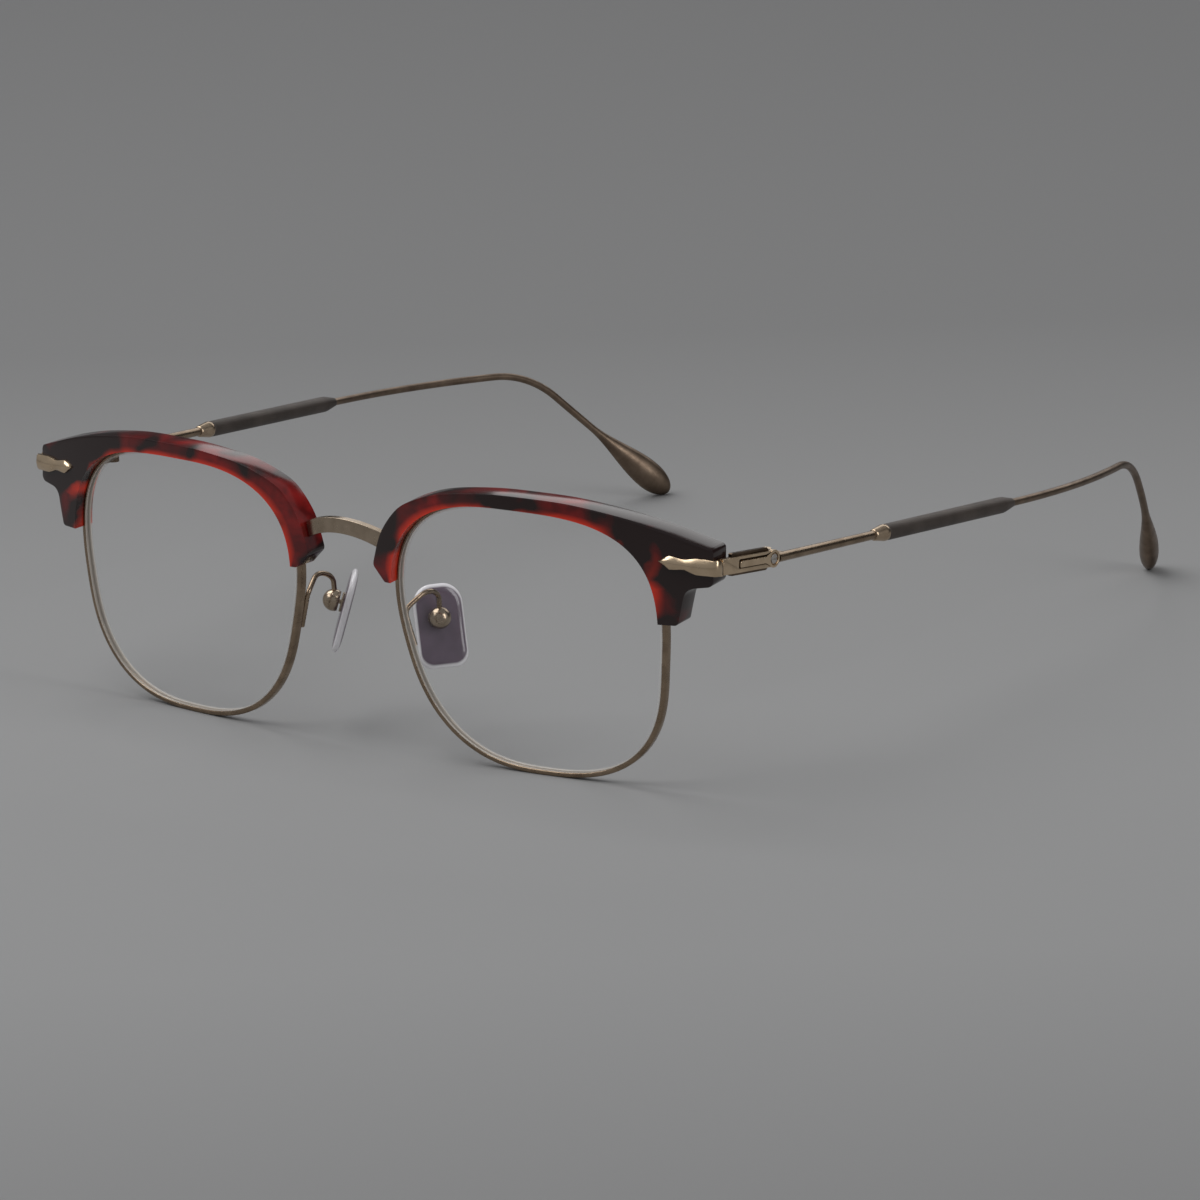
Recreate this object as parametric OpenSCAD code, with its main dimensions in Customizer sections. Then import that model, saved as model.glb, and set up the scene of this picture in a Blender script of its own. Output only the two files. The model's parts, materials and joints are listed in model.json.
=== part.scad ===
/* [Lenses and rims] */
// Distance between the centres of the two lenses
eye_spacing = 73.8; // [70:0.2:80]
// Eye wire centre line, from the lens centre to the temple side
eye_out = 25.6; // [24:0.1:28]
// Eye wire centre line, from the lens centre to the nose side
eye_in = 23.9; // [22:0.1:26]
// Eye wire centre line, from its widest level up to the top
eye_up = 26.4; // [24:0.1:28]
// Eye wire centre line, from its widest level down to the bottom
eye_down = 19.3; // [17:0.1:22]
// Thickness of the eye wire, seen from the front
rim_w = 0.85; // [0.7:0.05:1.2]
// Depth of the eye wire, front to back
rim_d = 1.45; // [1.3:0.05:1.8]
// Depth of the groove that holds the lens bevel
groove = 0.35; // [0.25:0.05:0.45]
// Thickness of the lens
lens_t = 1.5; // [1.2:0.1:1.6]
// Radius of the sphere that both fronts follow
base_r = 160; // [120:5:220]
// Turn of each lens about the vertical
wrap = 5.5; // [3:0.5:7]
// Forward lean of the front
tilt = 2; // [0:0.5:4]

/* [Brows] */
// Acetate in front of the middle of the eye wire
brow_front = 2.7; // [2.3:0.1:3]
// Acetate behind the middle of the eye wire
brow_rear = 1.3; // [1.2:0.1:2]
// Set-back of the brow's lens opening from the eye wire's inner edge
flange_back = 0.4; // [0.2:0.05:0.5]
// Height of the brow above the eye wire
brow_h = 1.8; // [1.6:0.1:3]
// Width of the nose leg outside the eye wire
nose_leg = 3.3; // [2.8:0.1:3.6]
// Width of the temple leg outside the eye wire
side_leg = 3.4; // [3:0.1:3.8]
// Reach of the wing past the temple side of the eye wire
wing_reach = 9.6; // [9:0.1:11]
// Height of the end of the wing
wing_h = 6.1; // [5.6:0.1:7]
// Height of the temple leg's end above the lens centre
leg_v = 5.5; // [4:0.1:6.5]

/* [Bridge] */
// Height of the bridge ribbon
bridge_h = 2.6; // [2:0.1:3.2]
// Thickness of the bridge ribbon
bridge_t = 1.3; // [1:0.1:1.6]
// Rise of the arch over its ends
bridge_rise = 1.8; // [1:0.1:3]
// Forward bow of the ribbon
bridge_bow = 1.2; // [0.6:0.1:2]

/* [Endpieces and hinges] */
// Thickness of the spear plate over the brow
spear_t = 0.9; // [0.7:0.05:1.2]
// Height of the side bar
bar_h = 2.65; // [2.5:0.05:3.1]
// Thickness of the side bar beside the brow
side_t = 1.12; // [0.9:0.02:1.3]
// Thickness of the side bar behind the brow, where it lies on the hinge leaf
bar_t = 0.8; // [0.7:0.05:0.95]
// Drop angle of the side bar towards the back
bar_pitch = 7.3; // [4:0.1:9]
// Distance from the brow's front corner to the centre of the inlay's round head
bar_len = 15.3; // [13.5:0.1:18]
// Radius of the inlay's round head
head_r = 1.5; // [1.4:0.05:1.6]
// Height of the inlay's tongue
tongue_h = 1.1; // [0.9:0.05:1.3]
// Length of the inlay's tongue, from the head's centre
tongue_len = 9.5; // [6:0.1:10]
// Thickness of the hinge leaf behind the side bar
leaf_t = 0.7; // [0.5:0.05:0.9]
// Height of the hinge leaf above and below the side bar
leaf_show = 0.55; // [0.3:0.05:0.8]
// Radius of the hinge knuckles
knuckle_r = 0.97; // [0.9:0.01:1]
// Radius of the hinge screw
pin_r = 0.5; // [0.4:0.05:0.6]
// Height of each outer knuckle
knuckle_h = 0.7; // [0.6:0.05:0.9]
// Height of the middle knuckle
middle_h = 0.9; // [0.7:0.05:1.1]

/* [Temples] */
// Radius of the rod at the hinge
rod_r = 0.82; // [0.8:0.01:1.05]
// Radius of the rod at the ferrule
rod_tip_r = 0.75; // [0.7:0.01:0.8]
// Distance from the start of the rod to the ferrule
rod_len = 26.5; // [20:0.5:34]
// Length of the ferrule
ferrule_len = 3.2; // [2.4:0.1:4.5]
// Radius of the ferrule
ferrule_r = 1.42; // [1.3:0.02:1.6]
// Radius of the sleeve
sleeve_r = 1.4; // [1.1:0.05:1.5]
// Length of the sleeve without its tapered tail
sleeve_len = 34; // [26:0.5:40]
// Length of the sleeve's tapered tail
tail_len = 2.6; // [1.5:0.1:4]
// Radius of the core wire inside the sleeve
core_r = 0.6; // [0.5:0.02:0.64]
// Radius of the temple wire behind the sleeve
wire_r = 0.66; // [0.65:0.01:0.8]
// Distance from the start of the rod to the ear bend
bend_at = 108; // [100:0.5:114]
// Radius of the ear bend
bend_r = 22.5; // [18:0.5:32]
// Downward turn of the ear bend
bend_deg = 38.5; // [34:0.5:44]
// Outward splay of the straight part
splay = 1.6; // [0.4:0.2:4]
// Downward slope of the straight part
slope = 4.9; // [3.5:0.1:6]
// Inward turn from the sleeve to the tip
turn_deg = 36.5; // [25:0.5:44]
// Half width of the paddle tip
paddle_w = 2.7; // [2:0.1:3.2]
// Half thickness of the paddle tip
paddle_t = 1.75; // [1.3:0.05:2.2]
// Length of the paddle tip
paddle_len = 21; // [16:0.5:24]

/* [Nose pads] */
// Height of the pad
pad_h = 14; // [12:0.2:15]
// Width of the pad
pad_w = 8.2; // [7:0.1:9]
// Thickness of the pad
pad_t = 1.6; // [1.4:0.1:2]
// Splay of the pads about the vertical
pad_splay = 36; // [28:1:42]
// Lean of the pad tops towards the nose
pad_lean = 17; // [12:1:22]
// Radius of the pad button
button_r = 1.9; // [1.6:0.05:2.2]
// Radius of the pad arm wire
arm_r = 0.45; // [0.4:0.01:0.55]

/* [Hidden] */
$fn = 48;
sphere_fn = 180;

bronze = "#7d6a55";
gold = "#bfa684";
dark_bronze = "#4d4136";
acetate = "#7a1512";
sleeve_brown = "#4a413a";

// Clearances
fit = 0.05;
seat = 0.02;
run = 0.04;

// Eye outline: a rounded shape of four quarters that narrows downwards
eye_points = 96;
sink = 4.2;
shift_in = 0.8;
taper = 0.0075;
lean = -0.09;
square_top_out = 3.1;
square_top_in = 2.45;
square_bottom = 2.7;
even = 8.6;

function power_of(x, e) = sign(x) * pow(abs(x), 2 / e);
function eye_at(t) =
    let (a = t - even * sin(4 * t), c = cos(a), s = sin(a),
        w = c >= 0 ? eye_out : eye_in,
        h = s >= 0 ? eye_up : eye_down,
        e = s < 0 ? square_bottom : c >= 0 ? square_top_out : square_top_in,
        x = w * power_of(c, e), y = h * power_of(s, e))
    [x * (1 + taper * y) + lean * y - shift_in, y - sink];
function unit(v) = v / norm(v);
function eye_normal(t) =
    let (d = eye_at(t + 0.5) - eye_at(t - 0.5)) unit([d[1], -d[0]]);
function eye_ring(grow) =
    [for (i = [0:eye_points - 1]) let (t = 360 * i / eye_points) eye_at(t) + grow * eye_normal(t)];

eye_line = eye_ring(0);
eye_top = max([for (p = eye_line) p[1]]);
eye_side = max([for (p = eye_line) p[0]]);
eye_nose = min([for (p = eye_line) p[0]]);
function eye_edge(v, side) =
    let (us = [for (p = eye_line) if (abs(p[1] - v) < 1.6 && side * p[0] > 0) p[0]])
    side > 0 ? max(us) : min(us);

// From the lens frame, u out, v up and off forwards of the sphere, to the whole object
function sag(u, v) = (u * u + v * v) / (2 * base_r);
function turned(p) =
    let (y1 = -p[2] * cos(tilt) - p[1] * sin(tilt), z1 = p[1] * cos(tilt) - p[2] * sin(tilt))
    [p[0] * cos(wrap) - y1 * sin(wrap), p[0] * sin(wrap) + y1 * cos(wrap), z1];
eye_low = min([for (p = eye_ring(rim_w / 2)) for (off = [-rim_d / 2, rim_d / 2])
    turned([p[0], p[1], off - sag(p[0], p[1])])[2]]);
eye_centre = [eye_spacing / 2, 0, -eye_low];
function world(u, v, off) = eye_centre + turned([u, v, off - sag(u, v)]);

// Rounds each corner [u, v, radius] of an outline with an arc
function rounded(pts) = [for (i = [0:len(pts) - 1])
    let (n = len(pts), q = pts[i], p = [q[0], q[1]],
        a = [pts[(i + n - 1) % n][0], pts[(i + n - 1) % n][1]],
        b = [pts[(i + 1) % n][0], pts[(i + 1) % n][1]],
        da = unit(a - p), db = unit(b - p),
        angle = acos(da * db), half = angle / 2,
        t = min(q[2] / tan(half), 0.48 * norm(a - p), 0.48 * norm(b - p)),
        r = t * tan(half), c = p + unit(da + db) * r / sin(half),
        v0 = p + da * t - c, v1 = p + db * t - c,
        way = sign(v0[0] * v1[1] - v0[1] * v1[0]), steps = max(2, ceil((180 - angle) / 7)))
    if (q[2] == 0) p else
        for (k = [0:steps]) let (g = way * k * (180 - angle) / steps)
            c + [v0[0] * cos(g) - v0[1] * sin(g), v0[0] * sin(g) + v0[1] * cos(g)]];

// Brow outline
brow_top = eye_top + rim_w / 2 + brow_h;
nose_edge = eye_nose - rim_w / 2 - nose_leg;
nose_leg_v = leg_v + 1.2;
nose_low = [nose_edge, nose_leg_v + 2.6];
nose_high = [nose_edge + 1.5, brow_top - 9.4];
side_edge = eye_side + rim_w / 2 + side_leg;
wing_u = eye_side + wing_reach;
wing_top = brow_top - 6;
wing_low = wing_top - wing_h;
brow_outline = rounded([
    [nose_edge + 2.5, nose_leg_v, 0.6],
    [nose_low[0], nose_low[1], 1],
    [nose_high[0], nose_high[1], 7],
    [nose_edge + 5.6, brow_top - 4.2, 7],
    [nose_edge + 13.6, brow_top - 1.1, 25],
    [eye_nose + 21.4, brow_top + 0.1, 40],
    [eye_side - 16.4, brow_top, 50],
    [eye_side - 2.4, brow_top - 2.1, 60],
    [wing_u, wing_top, 0.9],
    [wing_u, wing_low, 1.1],
    [side_edge + 1, wing_low - 0.6, 2.2],
    [side_edge - 0.4, leg_v, 0.7],
    [eye_side - 4, leg_v, 0],
    [eye_nose + 4, nose_leg_v, 0]]);

// Spear on the brow: its place, and its outline about its own centre line
spear_v = (wing_top + wing_low) / 2 + 0.2;
spear_outline = rounded([for (p = [
    [-9.15, 0.7, 0.15],
    [-7.25, -0.65, 0.3],
    [-4.9, -0.45, 1.2],
    [-2.9, -1.25, 1.5],
    [2, -1.5, 0],
    [2, 1.2, 0],
    [-3, 1.5, 1.5],
    [-4.9, 1.15, 1.2],
    [-7.25, 1.7, 0.3]]) [wing_u + p[0], spear_v + p[1], p[2]]]);

// Side bar, hinge leaf behind it, and the inlay's round head
corner = world(wing_u, spear_v, brow_front);
brow_back = world(wing_u, spear_v, -brow_rear)[1];
bar_drop = 0.15;
bar_side = corner[0] + seat;
bar_out = bar_side + side_t;
leaf_out = bar_out - bar_t;
leaf_in = leaf_out - leaf_t;
function bar_z(y) = corner[2] - bar_drop - (y - corner[1]) * tan(bar_pitch);
head_y = corner[1] + bar_len;
corner_proud = 0.12;
inlay_proud = 0.1;
slot_up = 0.35;
slot_down = 0.1;
slot_front = 0.35;
inlay_screw_r = 0.38;
along_head = bar_len / cos(bar_pitch);
along_back = (brow_back - corner[1]) / cos(bar_pitch) + 0.5;

// Hinge axis
hinge_x = leaf_in - knuckle_r - 0.33;
hinge_y = head_y + head_r;
hinge_z = bar_z(hinge_y) - 0.1;
knuckle_z = middle_h / 2 + run;
cap_h = 0.3;

// Temple path
rod_proud = 0.19;
rod_x = bar_out - rod_r + rod_proud;
rod_y = hinge_y + 0.1;
rod_z = hinge_z + 0.15;
straight_len = rod_len + ferrule_len + sleeve_len + tail_len;
bend_len = bend_r * bend_deg * PI / 180;
drop_to_bend = bend_at * sin(slope) + bend_r * (cos(slope) - cos(slope + bend_deg));
tip_cap = 5.5;
last_pitch = slope + bend_deg;
tip_drop = norm([tip_cap * sin(last_pitch), paddle_w * cos(last_pitch)]) - tip_cap * sin(last_pitch);
last_len = (rod_z - drop_to_bend - tip_drop) / sin(last_pitch);
path_len = bend_at + bend_len + last_len;
path_step = 0.5;
function clamp01(x) = min(max(x, 0), 1);
function pitch_at(s) = slope + bend_deg * clamp01((s - bend_at) / bend_len);
function yaw_at(s) = splay - turn_deg * clamp01((s - straight_len) / (path_len - straight_len));
function heading(s) =
    let (p = pitch_at(s), w = yaw_at(s)) [sin(w) * cos(p), cos(w) * cos(p), -sin(p)];
step_count = ceil(path_len / path_step);
ds = path_len / step_count;
path = [for (i = 0, p = [rod_x, rod_y, rod_z]; i <= step_count;
    p = p + heading((i + 0.5) * ds) * ds, i = i + 1) p];
function path_at(s) = let (i = floor(s / ds), f = s / ds - i)
    i >= step_count ? path[step_count] : path[i] * (1 - f) + path[i + 1] * f;

// Half width and half thickness of the wire and its paddle at a distance along the path
function swell(s) =
    let (t = clamp01((s - path_len + paddle_len) / (paddle_len - tip_cap)),
        grown = t * t * (3 - 2 * t),
        e = clamp01((s - path_len + tip_cap) / tip_cap))
    [grown, sqrt(max(1 - e * e, 0))];
function half_w(s) = let (g = swell(s)) (wire_r + (paddle_w - wire_r) * g[0]) * g[1];
function half_t(s) = let (g = swell(s)) (wire_r + (paddle_t - wire_r) * g[0]) * g[1];

// Bridge place
bridge_v = brow_top - 11.2;
bridge_off = 1;
bridge_gap = 0.12;
edge_slope = (nose_high[0] - nose_low[0]) / (nose_high[1] - nose_low[1]);
function brow_edge(v) = [nose_low[0] + (v - nose_low[1]) * edge_slope - bridge_gap, v];
bridge_u = brow_edge(bridge_v)[0];
bridge_end = world(bridge_u, bridge_v, bridge_off);
lug_h = 1.5;
lug_d = 1.4;
lug_off = 0.2;
lug_in = 0.6;
lug_u = eye_edge(bridge_v, -1) - rim_w / 2 - 0.06;
lug_low = lug_off - lug_d / 2 - sag(nose_edge + 2, bridge_v);

// Row frame: the middle of the whole length, with the resting surface at z = 0
brow_edges = concat(brow_outline, [for (p = eye_ring(flange_back - rim_w / 2)) if (p[1] > leg_v) p]);
brow_front_y = min([for (p = brow_edges)
    if (p[1] > leg_v + 1.5 || abs(p[0]) > -eye_nose) world(p[0], p[1], brow_front)[1]]);
front_y = min(brow_front_y, bridge_end[1] - bridge_bow - bridge_t / 2);
tip_stations = concat(
    [for (s = [straight_len + seat : 3 : path_len - paddle_len]) s],
    [for (s = [path_len - paddle_len : 1.5 : path_len - tip_cap]) s],
    [for (a = [12:13:90]) path_len - tip_cap + tip_cap * sin(min(a, 87))]);
back_y = max([for (s = tip_stations) path_at(s)[1] + half_w(s) * sin(pitch_at(s))]);

// Nose pads
pad_centre = [eye_spacing / 2 - 26.7, world(eye_nose, 0, 0)[1] + 10.7, -eye_low - 4];
button_gap = 0.35;
insert_t = 0.3;
button_at = [pad_t / 2 + insert_t + button_gap, -0.5, 1.3];
button_back = 0.9;
ball_r = 0.75;
neck_r = 0.4;
arm_sides = 10;

module lens_frame() {
    translate(eye_centre) rotate([90 + tilt, 0, wrap]) children();
}

module prism(outline) {
    translate([0, 0, -12]) linear_extrude(18) polygon(outline);
}

// A layer of the outline between two spheres, lo and hi forwards of the middle one
module layer(outline, lo, hi) {
    difference() {
        intersection() {
            prism(outline);
            translate([0, 0, -base_r]) sphere(r = base_r + hi, $fn = sphere_fn);
        }
        translate([0, 0, -base_r]) sphere(r = base_r + lo, $fn = sphere_fn);
    }
}

// Stands children on the middle sphere, square to it
module on_sphere(u, v) {
    b = asin(v / base_r);
    a = asin(u / (base_r * cos(b)));
    translate([0, 0, -base_r]) rotate([-b, a, 0]) translate([0, 0, base_r]) children();
}

// Tube through a list of points, with ring radii and a level side direction
module tube(pts, radii, sides) {
    n = len(pts);
    function along(i) = unit(pts[min(i + 1, n - 1)] - pts[max(i - 1, 0)]);
    function flat(i) = unit(cross([0.03, 0.02, 1], along(i)));
    rings = [for (i = [0:n - 1]) let (f = flat(i), g = cross(along(i), f))
        for (k = [0:sides - 1]) let (a = 360 * k / sides)
            pts[i] + f * radii[i][1] * cos(a) + g * radii[i][0] * sin(a)];
    walls = [for (i = [0:n - 2]) for (k = [0:sides - 1])
        let (a = i * sides + k, b = i * sides + (k + 1) % sides)
        each [[a, a + sides, b], [b, a + sides, b + sides]]];
    ends = [[for (k = [0:sides - 1]) k], [for (k = [sides - 1:-1:0]) (n - 1) * sides + k]];
    polyhedron(points = rings, faces = concat(walls, ends), convexity = 6);
}

// Closing block place on the temple side of the rim, inside the brow leg
block_v = leg_v + 3.7;
block_u = eye_edge(block_v, 1) + rim_w / 2;
block_w = 2.1;
block_h = 1.75;
block_d = 2;
block_gap = 0.2;
block_sag = -sag(block_u + block_w / 2, block_v);
block_screw_r = 0.42;

// Stud and screw that hold the endpiece on the brow
stud_u = wing_u - 2.3;
stud_r = 0.9;
stud_floor = 1 - brow_rear;

module rim() {
    color(bronze) lens_frame() difference() {
        layer(eye_ring(rim_w / 2), -rim_d / 2, rim_d / 2);
        prism(eye_ring(-rim_w / 2));
        layer(eye_ring(groove - rim_w / 2), -0.4, 0.4);
        translate([block_u - 3, block_v - block_gap / 2, -12]) cube([6, block_gap, 18]);
    }
}

module lens() {
    color("#dfe6e8", 0.35) lens_frame() {
        layer(eye_ring(-rim_w / 2 - fit), -lens_t / 2, lens_t / 2);
        layer(eye_ring(groove - rim_w / 2 - fit), -0.3, 0.3);
    }
}

module brow() {
    color(acetate) lens_frame() difference() {
        layer(brow_outline, -brow_rear, brow_front);
        prism(eye_ring(flange_back - rim_w / 2));
        layer(eye_ring(rim_w / 2 + fit), -rim_d / 2 - fit, rim_d / 2 + fit);
        // Pocket for the closing block, open to the back
        translate([block_u - 1, block_v - block_h - 0.95, -12])
            cube([block_w + 1.15, 2 * block_h + 1.2, 12 + block_sag + block_d / 2 + 0.1]);
        // Way in for the screwdriver, from the end of the leg
        translate([block_u + block_w / 2, leg_v - 1, block_sag]) rotate([-90, 0, 0])
            cylinder(r = 0.65, h = block_v - block_h - leg_v + 0.5);
        // Stepped hole for the endpiece's stud and screw
        on_sphere(stud_u, spear_v) {
            translate([0, 0, stud_floor]) cylinder(r = stud_r + fit, h = brow_front + 3);
            translate([0, 0, -brow_rear - 1]) cylinder(r = 0.6, h = brow_rear + 2);
        }
        // Slot that the bridge's lug passes through
        translate([nose_edge - 2, bridge_v - lug_h / 2 - fit, lug_low - fit])
            cube([lug_u - nose_edge + 2.3, lug_h + 2 * fit, lug_d + 2 * fit]);
    }
}

module closing_block() {
    color(bronze) lens_frame() difference() {
        for (k = [-1, 1]) translate([block_u - 0.4, block_v + (k < 0 ? -block_h : block_gap / 2), block_sag - block_d / 2])
            cube([block_w + 0.4, block_h - block_gap / 2, block_d]);
        prism(eye_ring(rim_w / 2 + seat));
        translate([block_u + block_w / 2, block_v - block_h - 1, block_sag]) rotate([-90, 0, 0])
            cylinder(r = block_screw_r + 0.03, h = 2 * block_h + 0.6);
    }
}

module closing_screw() {
    color(bronze) lens_frame() translate([block_u + block_w / 2, block_v - block_h - seat, block_sag]) {
        difference() {
            rotate([90, 0, 0]) cylinder(r = 0.62, h = 0.5);
            translate([-1, -0.8, -0.1]) cube([2, 0.5, 0.2]);
        }
        rotate([-90, 0, 0]) cylinder(r = block_screw_r, h = 2 * block_h - 0.6);
    }
}

module bridge() {
    half = bridge_end[0];
    arch_r = (half * half + bridge_rise * bridge_rise) / (2 * bridge_rise);
    bow_r = (half * half + bridge_bow * bridge_bow) / (2 * bridge_bow);
    color(bronze) {
        difference() {
            intersection() {
                translate([0, bridge_end[1] - bridge_bow + bow_r, bridge_end[2] - 10]) difference() {
                    cylinder(r = bow_r + bridge_t / 2, h = 20, $fn = 96);
                    translate([0, 0, -1]) cylinder(r = bow_r - bridge_t / 2, h = 22, $fn = 96);
                }
                translate([0, bridge_end[1] - 10, bridge_end[2] + bridge_rise - arch_r]) rotate([-90, 0, 0])
                    difference() {
                        cylinder(r = arch_r + bridge_h / 2, h = 20, $fn = 96);
                        translate([0, 0, -1]) cylinder(r = arch_r - bridge_h / 2, h = 22, $fn = 96);
                    }
                translate([-half - 1, bridge_end[1] - 8, bridge_end[2] - 3]) cube([2 * half + 2, 12, 12]);
            }
            // The ends are cut along the brows' edges
            for (k = [0, 1]) mirror([k, 0, 0]) lens_frame()
                prism([brow_edge(bridge_v - 5), brow_edge(bridge_v + 5), [0, bridge_v + 5], [0, bridge_v - 5]]);
        }
        for (k = [0, 1]) mirror([k, 0, 0]) lens_frame()
            translate([bridge_u - lug_in, bridge_v - lug_h / 2, lug_low])
                cube([lug_u - bridge_u + lug_in, lug_h, lug_d]);
    }
}

// Side bar frame: origin at the brow's front corner, Y along the bar
module bar_frame() {
    translate([0, corner[1], corner[2]]) rotate([-bar_pitch, 0, 0]) children();
}

// Stands an outline drawn along the bar and up it on the plane at x
module on_bar(x, t) {
    bar_frame() translate([x, 0, 0]) rotate([90, 0, 90]) linear_extrude(t) children();
}

// Tongue and round head of the inlay, wider by the gaps of the fork's slot
module inlay_shape(up, down, front, grow) {
    r = head_r + grow;
    translate([along_head, 0]) {
        circle(r = r);
        polygon(rounded([
            [-tongue_len - front, -tongue_h / 2 - down, 0.3],
            [-head_r - 0.8, -tongue_h / 2 - down, 1.2],
            [-0.64 * r, -0.76 * r, 0],
            [-0.64 * r, 0.76 * r, 0],
            [-head_r - 0.8, tongue_h / 2 + up, 1.2],
            [-tongue_len - front, tongue_h / 2 + up, 0.3]]));
    }
}

module endpiece() {
    color(gold) difference() {
        union() {
            intersection() {
                lens_frame() layer(spear_outline, brow_front + seat, brow_front + seat + spear_t);
                translate([bar_side + side_t / 2 - 200, -20, 0]) cube([200, 60, 80]);
            }
            bar_frame() {
                translate([bar_side, -spear_t - corner_proud, -bar_h / 2])
                    cube([side_t, along_back + spear_t + corner_proud, bar_h]);
                translate([leaf_out, 1, -bar_h / 2]) cube([bar_t, along_head - 1, bar_h]);
            }
            lens_frame() on_sphere(stud_u, spear_v)
                translate([0, 0, stud_floor + 0.2]) cylinder(r = stud_r, h = brow_front + 0.1 - stud_floor);
        }
        on_bar(leaf_out - 1, 3) inlay_shape(slot_up, slot_down, slot_front, fit);
        lens_frame() on_sphere(stud_u, spear_v)
            translate([0, 0, -2]) cylinder(r = 0.45, h = brow_front + 1.6);
    }
}

module endpiece_screw() {
    color(bronze) lens_frame() on_sphere(stud_u, spear_v) difference() {
        union() {
            translate([0, 0, -brow_rear - seat - 0.5]) cylinder(r = 1.2, h = 0.5);
            translate([0, 0, -brow_rear - seat]) cylinder(r = 0.42, h = brow_rear + brow_front - 0.7);
        }
        translate([-2, -0.15, -brow_rear - 1]) cube([4, 0.3, 0.7]);
    }
}

module inlay() {
    color(gold) difference() {
        on_bar(leaf_out, bar_t + inlay_proud) inlay_shape(0, 0, 0, 0);
        bar_frame() translate([leaf_out - 1, along_head, 0]) rotate([0, 90, 0]) {
            cylinder(r = inlay_screw_r + 0.04, h = 4);
            translate([0, 0, 1 + bar_t + inlay_proud - 0.4]) cylinder(r = 1.05, h = 2);
        }
    }
}

module inlay_screw() {
    color(dark_bronze) bar_frame() translate([bar_out + inlay_proud - 0.38, along_head, 0]) difference() {
        rotate([0, 90, 0]) union() {
            cylinder(r = 0.83, h = 0.34);
            translate([0, 0, -1.1]) cylinder(r = inlay_screw_r, h = 1.2);
        }
        translate([0.16, -1, -0.11]) cube([1, 2, 0.22]);
    }
}

module hinge_at() {
    translate([hinge_x, hinge_y, hinge_z]) children();
}

leaf_half = bar_h / 2 + leaf_show;
flag_from = -2.9;
flag_to = -0.6;

module hinge_front() {
    color(dark_bronze) difference() {
        union() {
            on_bar(leaf_in, leaf_t) {
                translate([along_head, 0]) circle(r = head_r);
                polygon(rounded([
                    [along_back, -leaf_half, 0.3],
                    [along_head - 0.6, -leaf_half, 0.7],
                    [along_head - 0.6, leaf_half, 0.7],
                    [along_back, leaf_half, 0.3]]));
            }
            for (k = [0, 1]) hinge_at() mirror([0, 0, k]) translate([0, 0, knuckle_z]) {
                cylinder(r = knuckle_r, h = knuckle_h);
                translate([0, flag_from, 0])
                    cube([leaf_in - hinge_x + 0.1, flag_to - flag_from, knuckle_h]);
            }
        }
        hinge_at() translate([0, 0, -5]) cylinder(r = pin_r + 0.01, h = 10);
        bar_frame() translate([leaf_in - 1, along_head, 0]) rotate([0, 90, 0])
            cylinder(r = inlay_screw_r + 0.02, h = 4);
    }
}

module hinge_temple() {
    color(bronze) hinge_at() difference() {
        translate([0, 0, -middle_h / 2]) {
            cylinder(r = knuckle_r, h = middle_h);
            translate([0, 0.1, 0]) cube([rod_x - rod_r * 0.75 - hinge_x - seat, 2.9, middle_h]);
        }
        translate([0, 0, -5]) cylinder(r = pin_r + run, h = 10);
    }
}

module hinge_screw() {
    color(gold) hinge_at() difference() {
        union() {
            translate([0, 0, -knuckle_z - knuckle_h]) cylinder(r = pin_r, h = 2 * (knuckle_z + knuckle_h));
            translate([0, 0, knuckle_z + knuckle_h + seat]) cylinder(r = knuckle_r, h = cap_h);
            translate([0, 0, knuckle_z + knuckle_h - 0.01]) cylinder(r = pin_r, h = cap_h);
        }
        translate([-2, -0.11, knuckle_z + knuckle_h + cap_h - 0.1]) cube([4, 0.22, 1]);
    }
}

// Straight part of the temple: origin at the start of the rod, Z along it
module rod_frame() {
    translate([rod_x, rod_y, rod_z]) rotate([-90 - slope, 0, -splay]) children();
}
sleeve_from = rod_len + ferrule_len;

module rod() {
    color(bronze) difference() {
        rod_frame() {
            translate([0, 0, 0.1]) cylinder(r1 = rod_r, r2 = rod_tip_r, h = rod_len - 0.1);
            translate([0, 0, rod_len]) cylinder(r = core_r, h = sleeve_len * 0.45 + ferrule_len);
        }
        // Flat that the temple's hinge plate is brazed to
        translate([rod_x - rod_r * 0.75 - 5, hinge_y - 1, rod_z - 3]) cube([5, 4.2, 6]);
    }
}

module ferrule() {
    color(gold) rod_frame() difference() {
        union() {
            translate([0, 0, rod_len + seat]) cylinder(r1 = rod_tip_r, r2 = ferrule_r, h = ferrule_len * 0.55);
            translate([0, 0, rod_len + ferrule_len * 0.55])
                cylinder(r = ferrule_r, h = ferrule_len * 0.45 - seat);
        }
        cylinder(r = core_r + 0.01, h = rod_len + ferrule_len + 1);
    }
}

module sleeve() {
    color(sleeve_brown) rod_frame() translate([0, 0, sleeve_from]) difference() {
        union() {
            cylinder(r = sleeve_r, h = sleeve_len);
            translate([0, 0, sleeve_len - 0.01]) cylinder(r1 = sleeve_r, r2 = wire_r + 0.12, h = tail_len);
        }
        translate([0, 0, -1]) cylinder(r = core_r + 0.01, h = sleeve_len + tail_len + 2);
    }
}

module temple_tip() {
    color(bronze) {
        tube([for (s = tip_stations) path_at(s)], [for (s = tip_stations) [half_w(s), half_t(s)]], 16);
        rod_frame() translate([0, 0, sleeve_from + sleeve_len * 0.55])
            cylinder(r = core_r, h = sleeve_len * 0.45 + tail_len + seat);
    }
}

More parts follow.
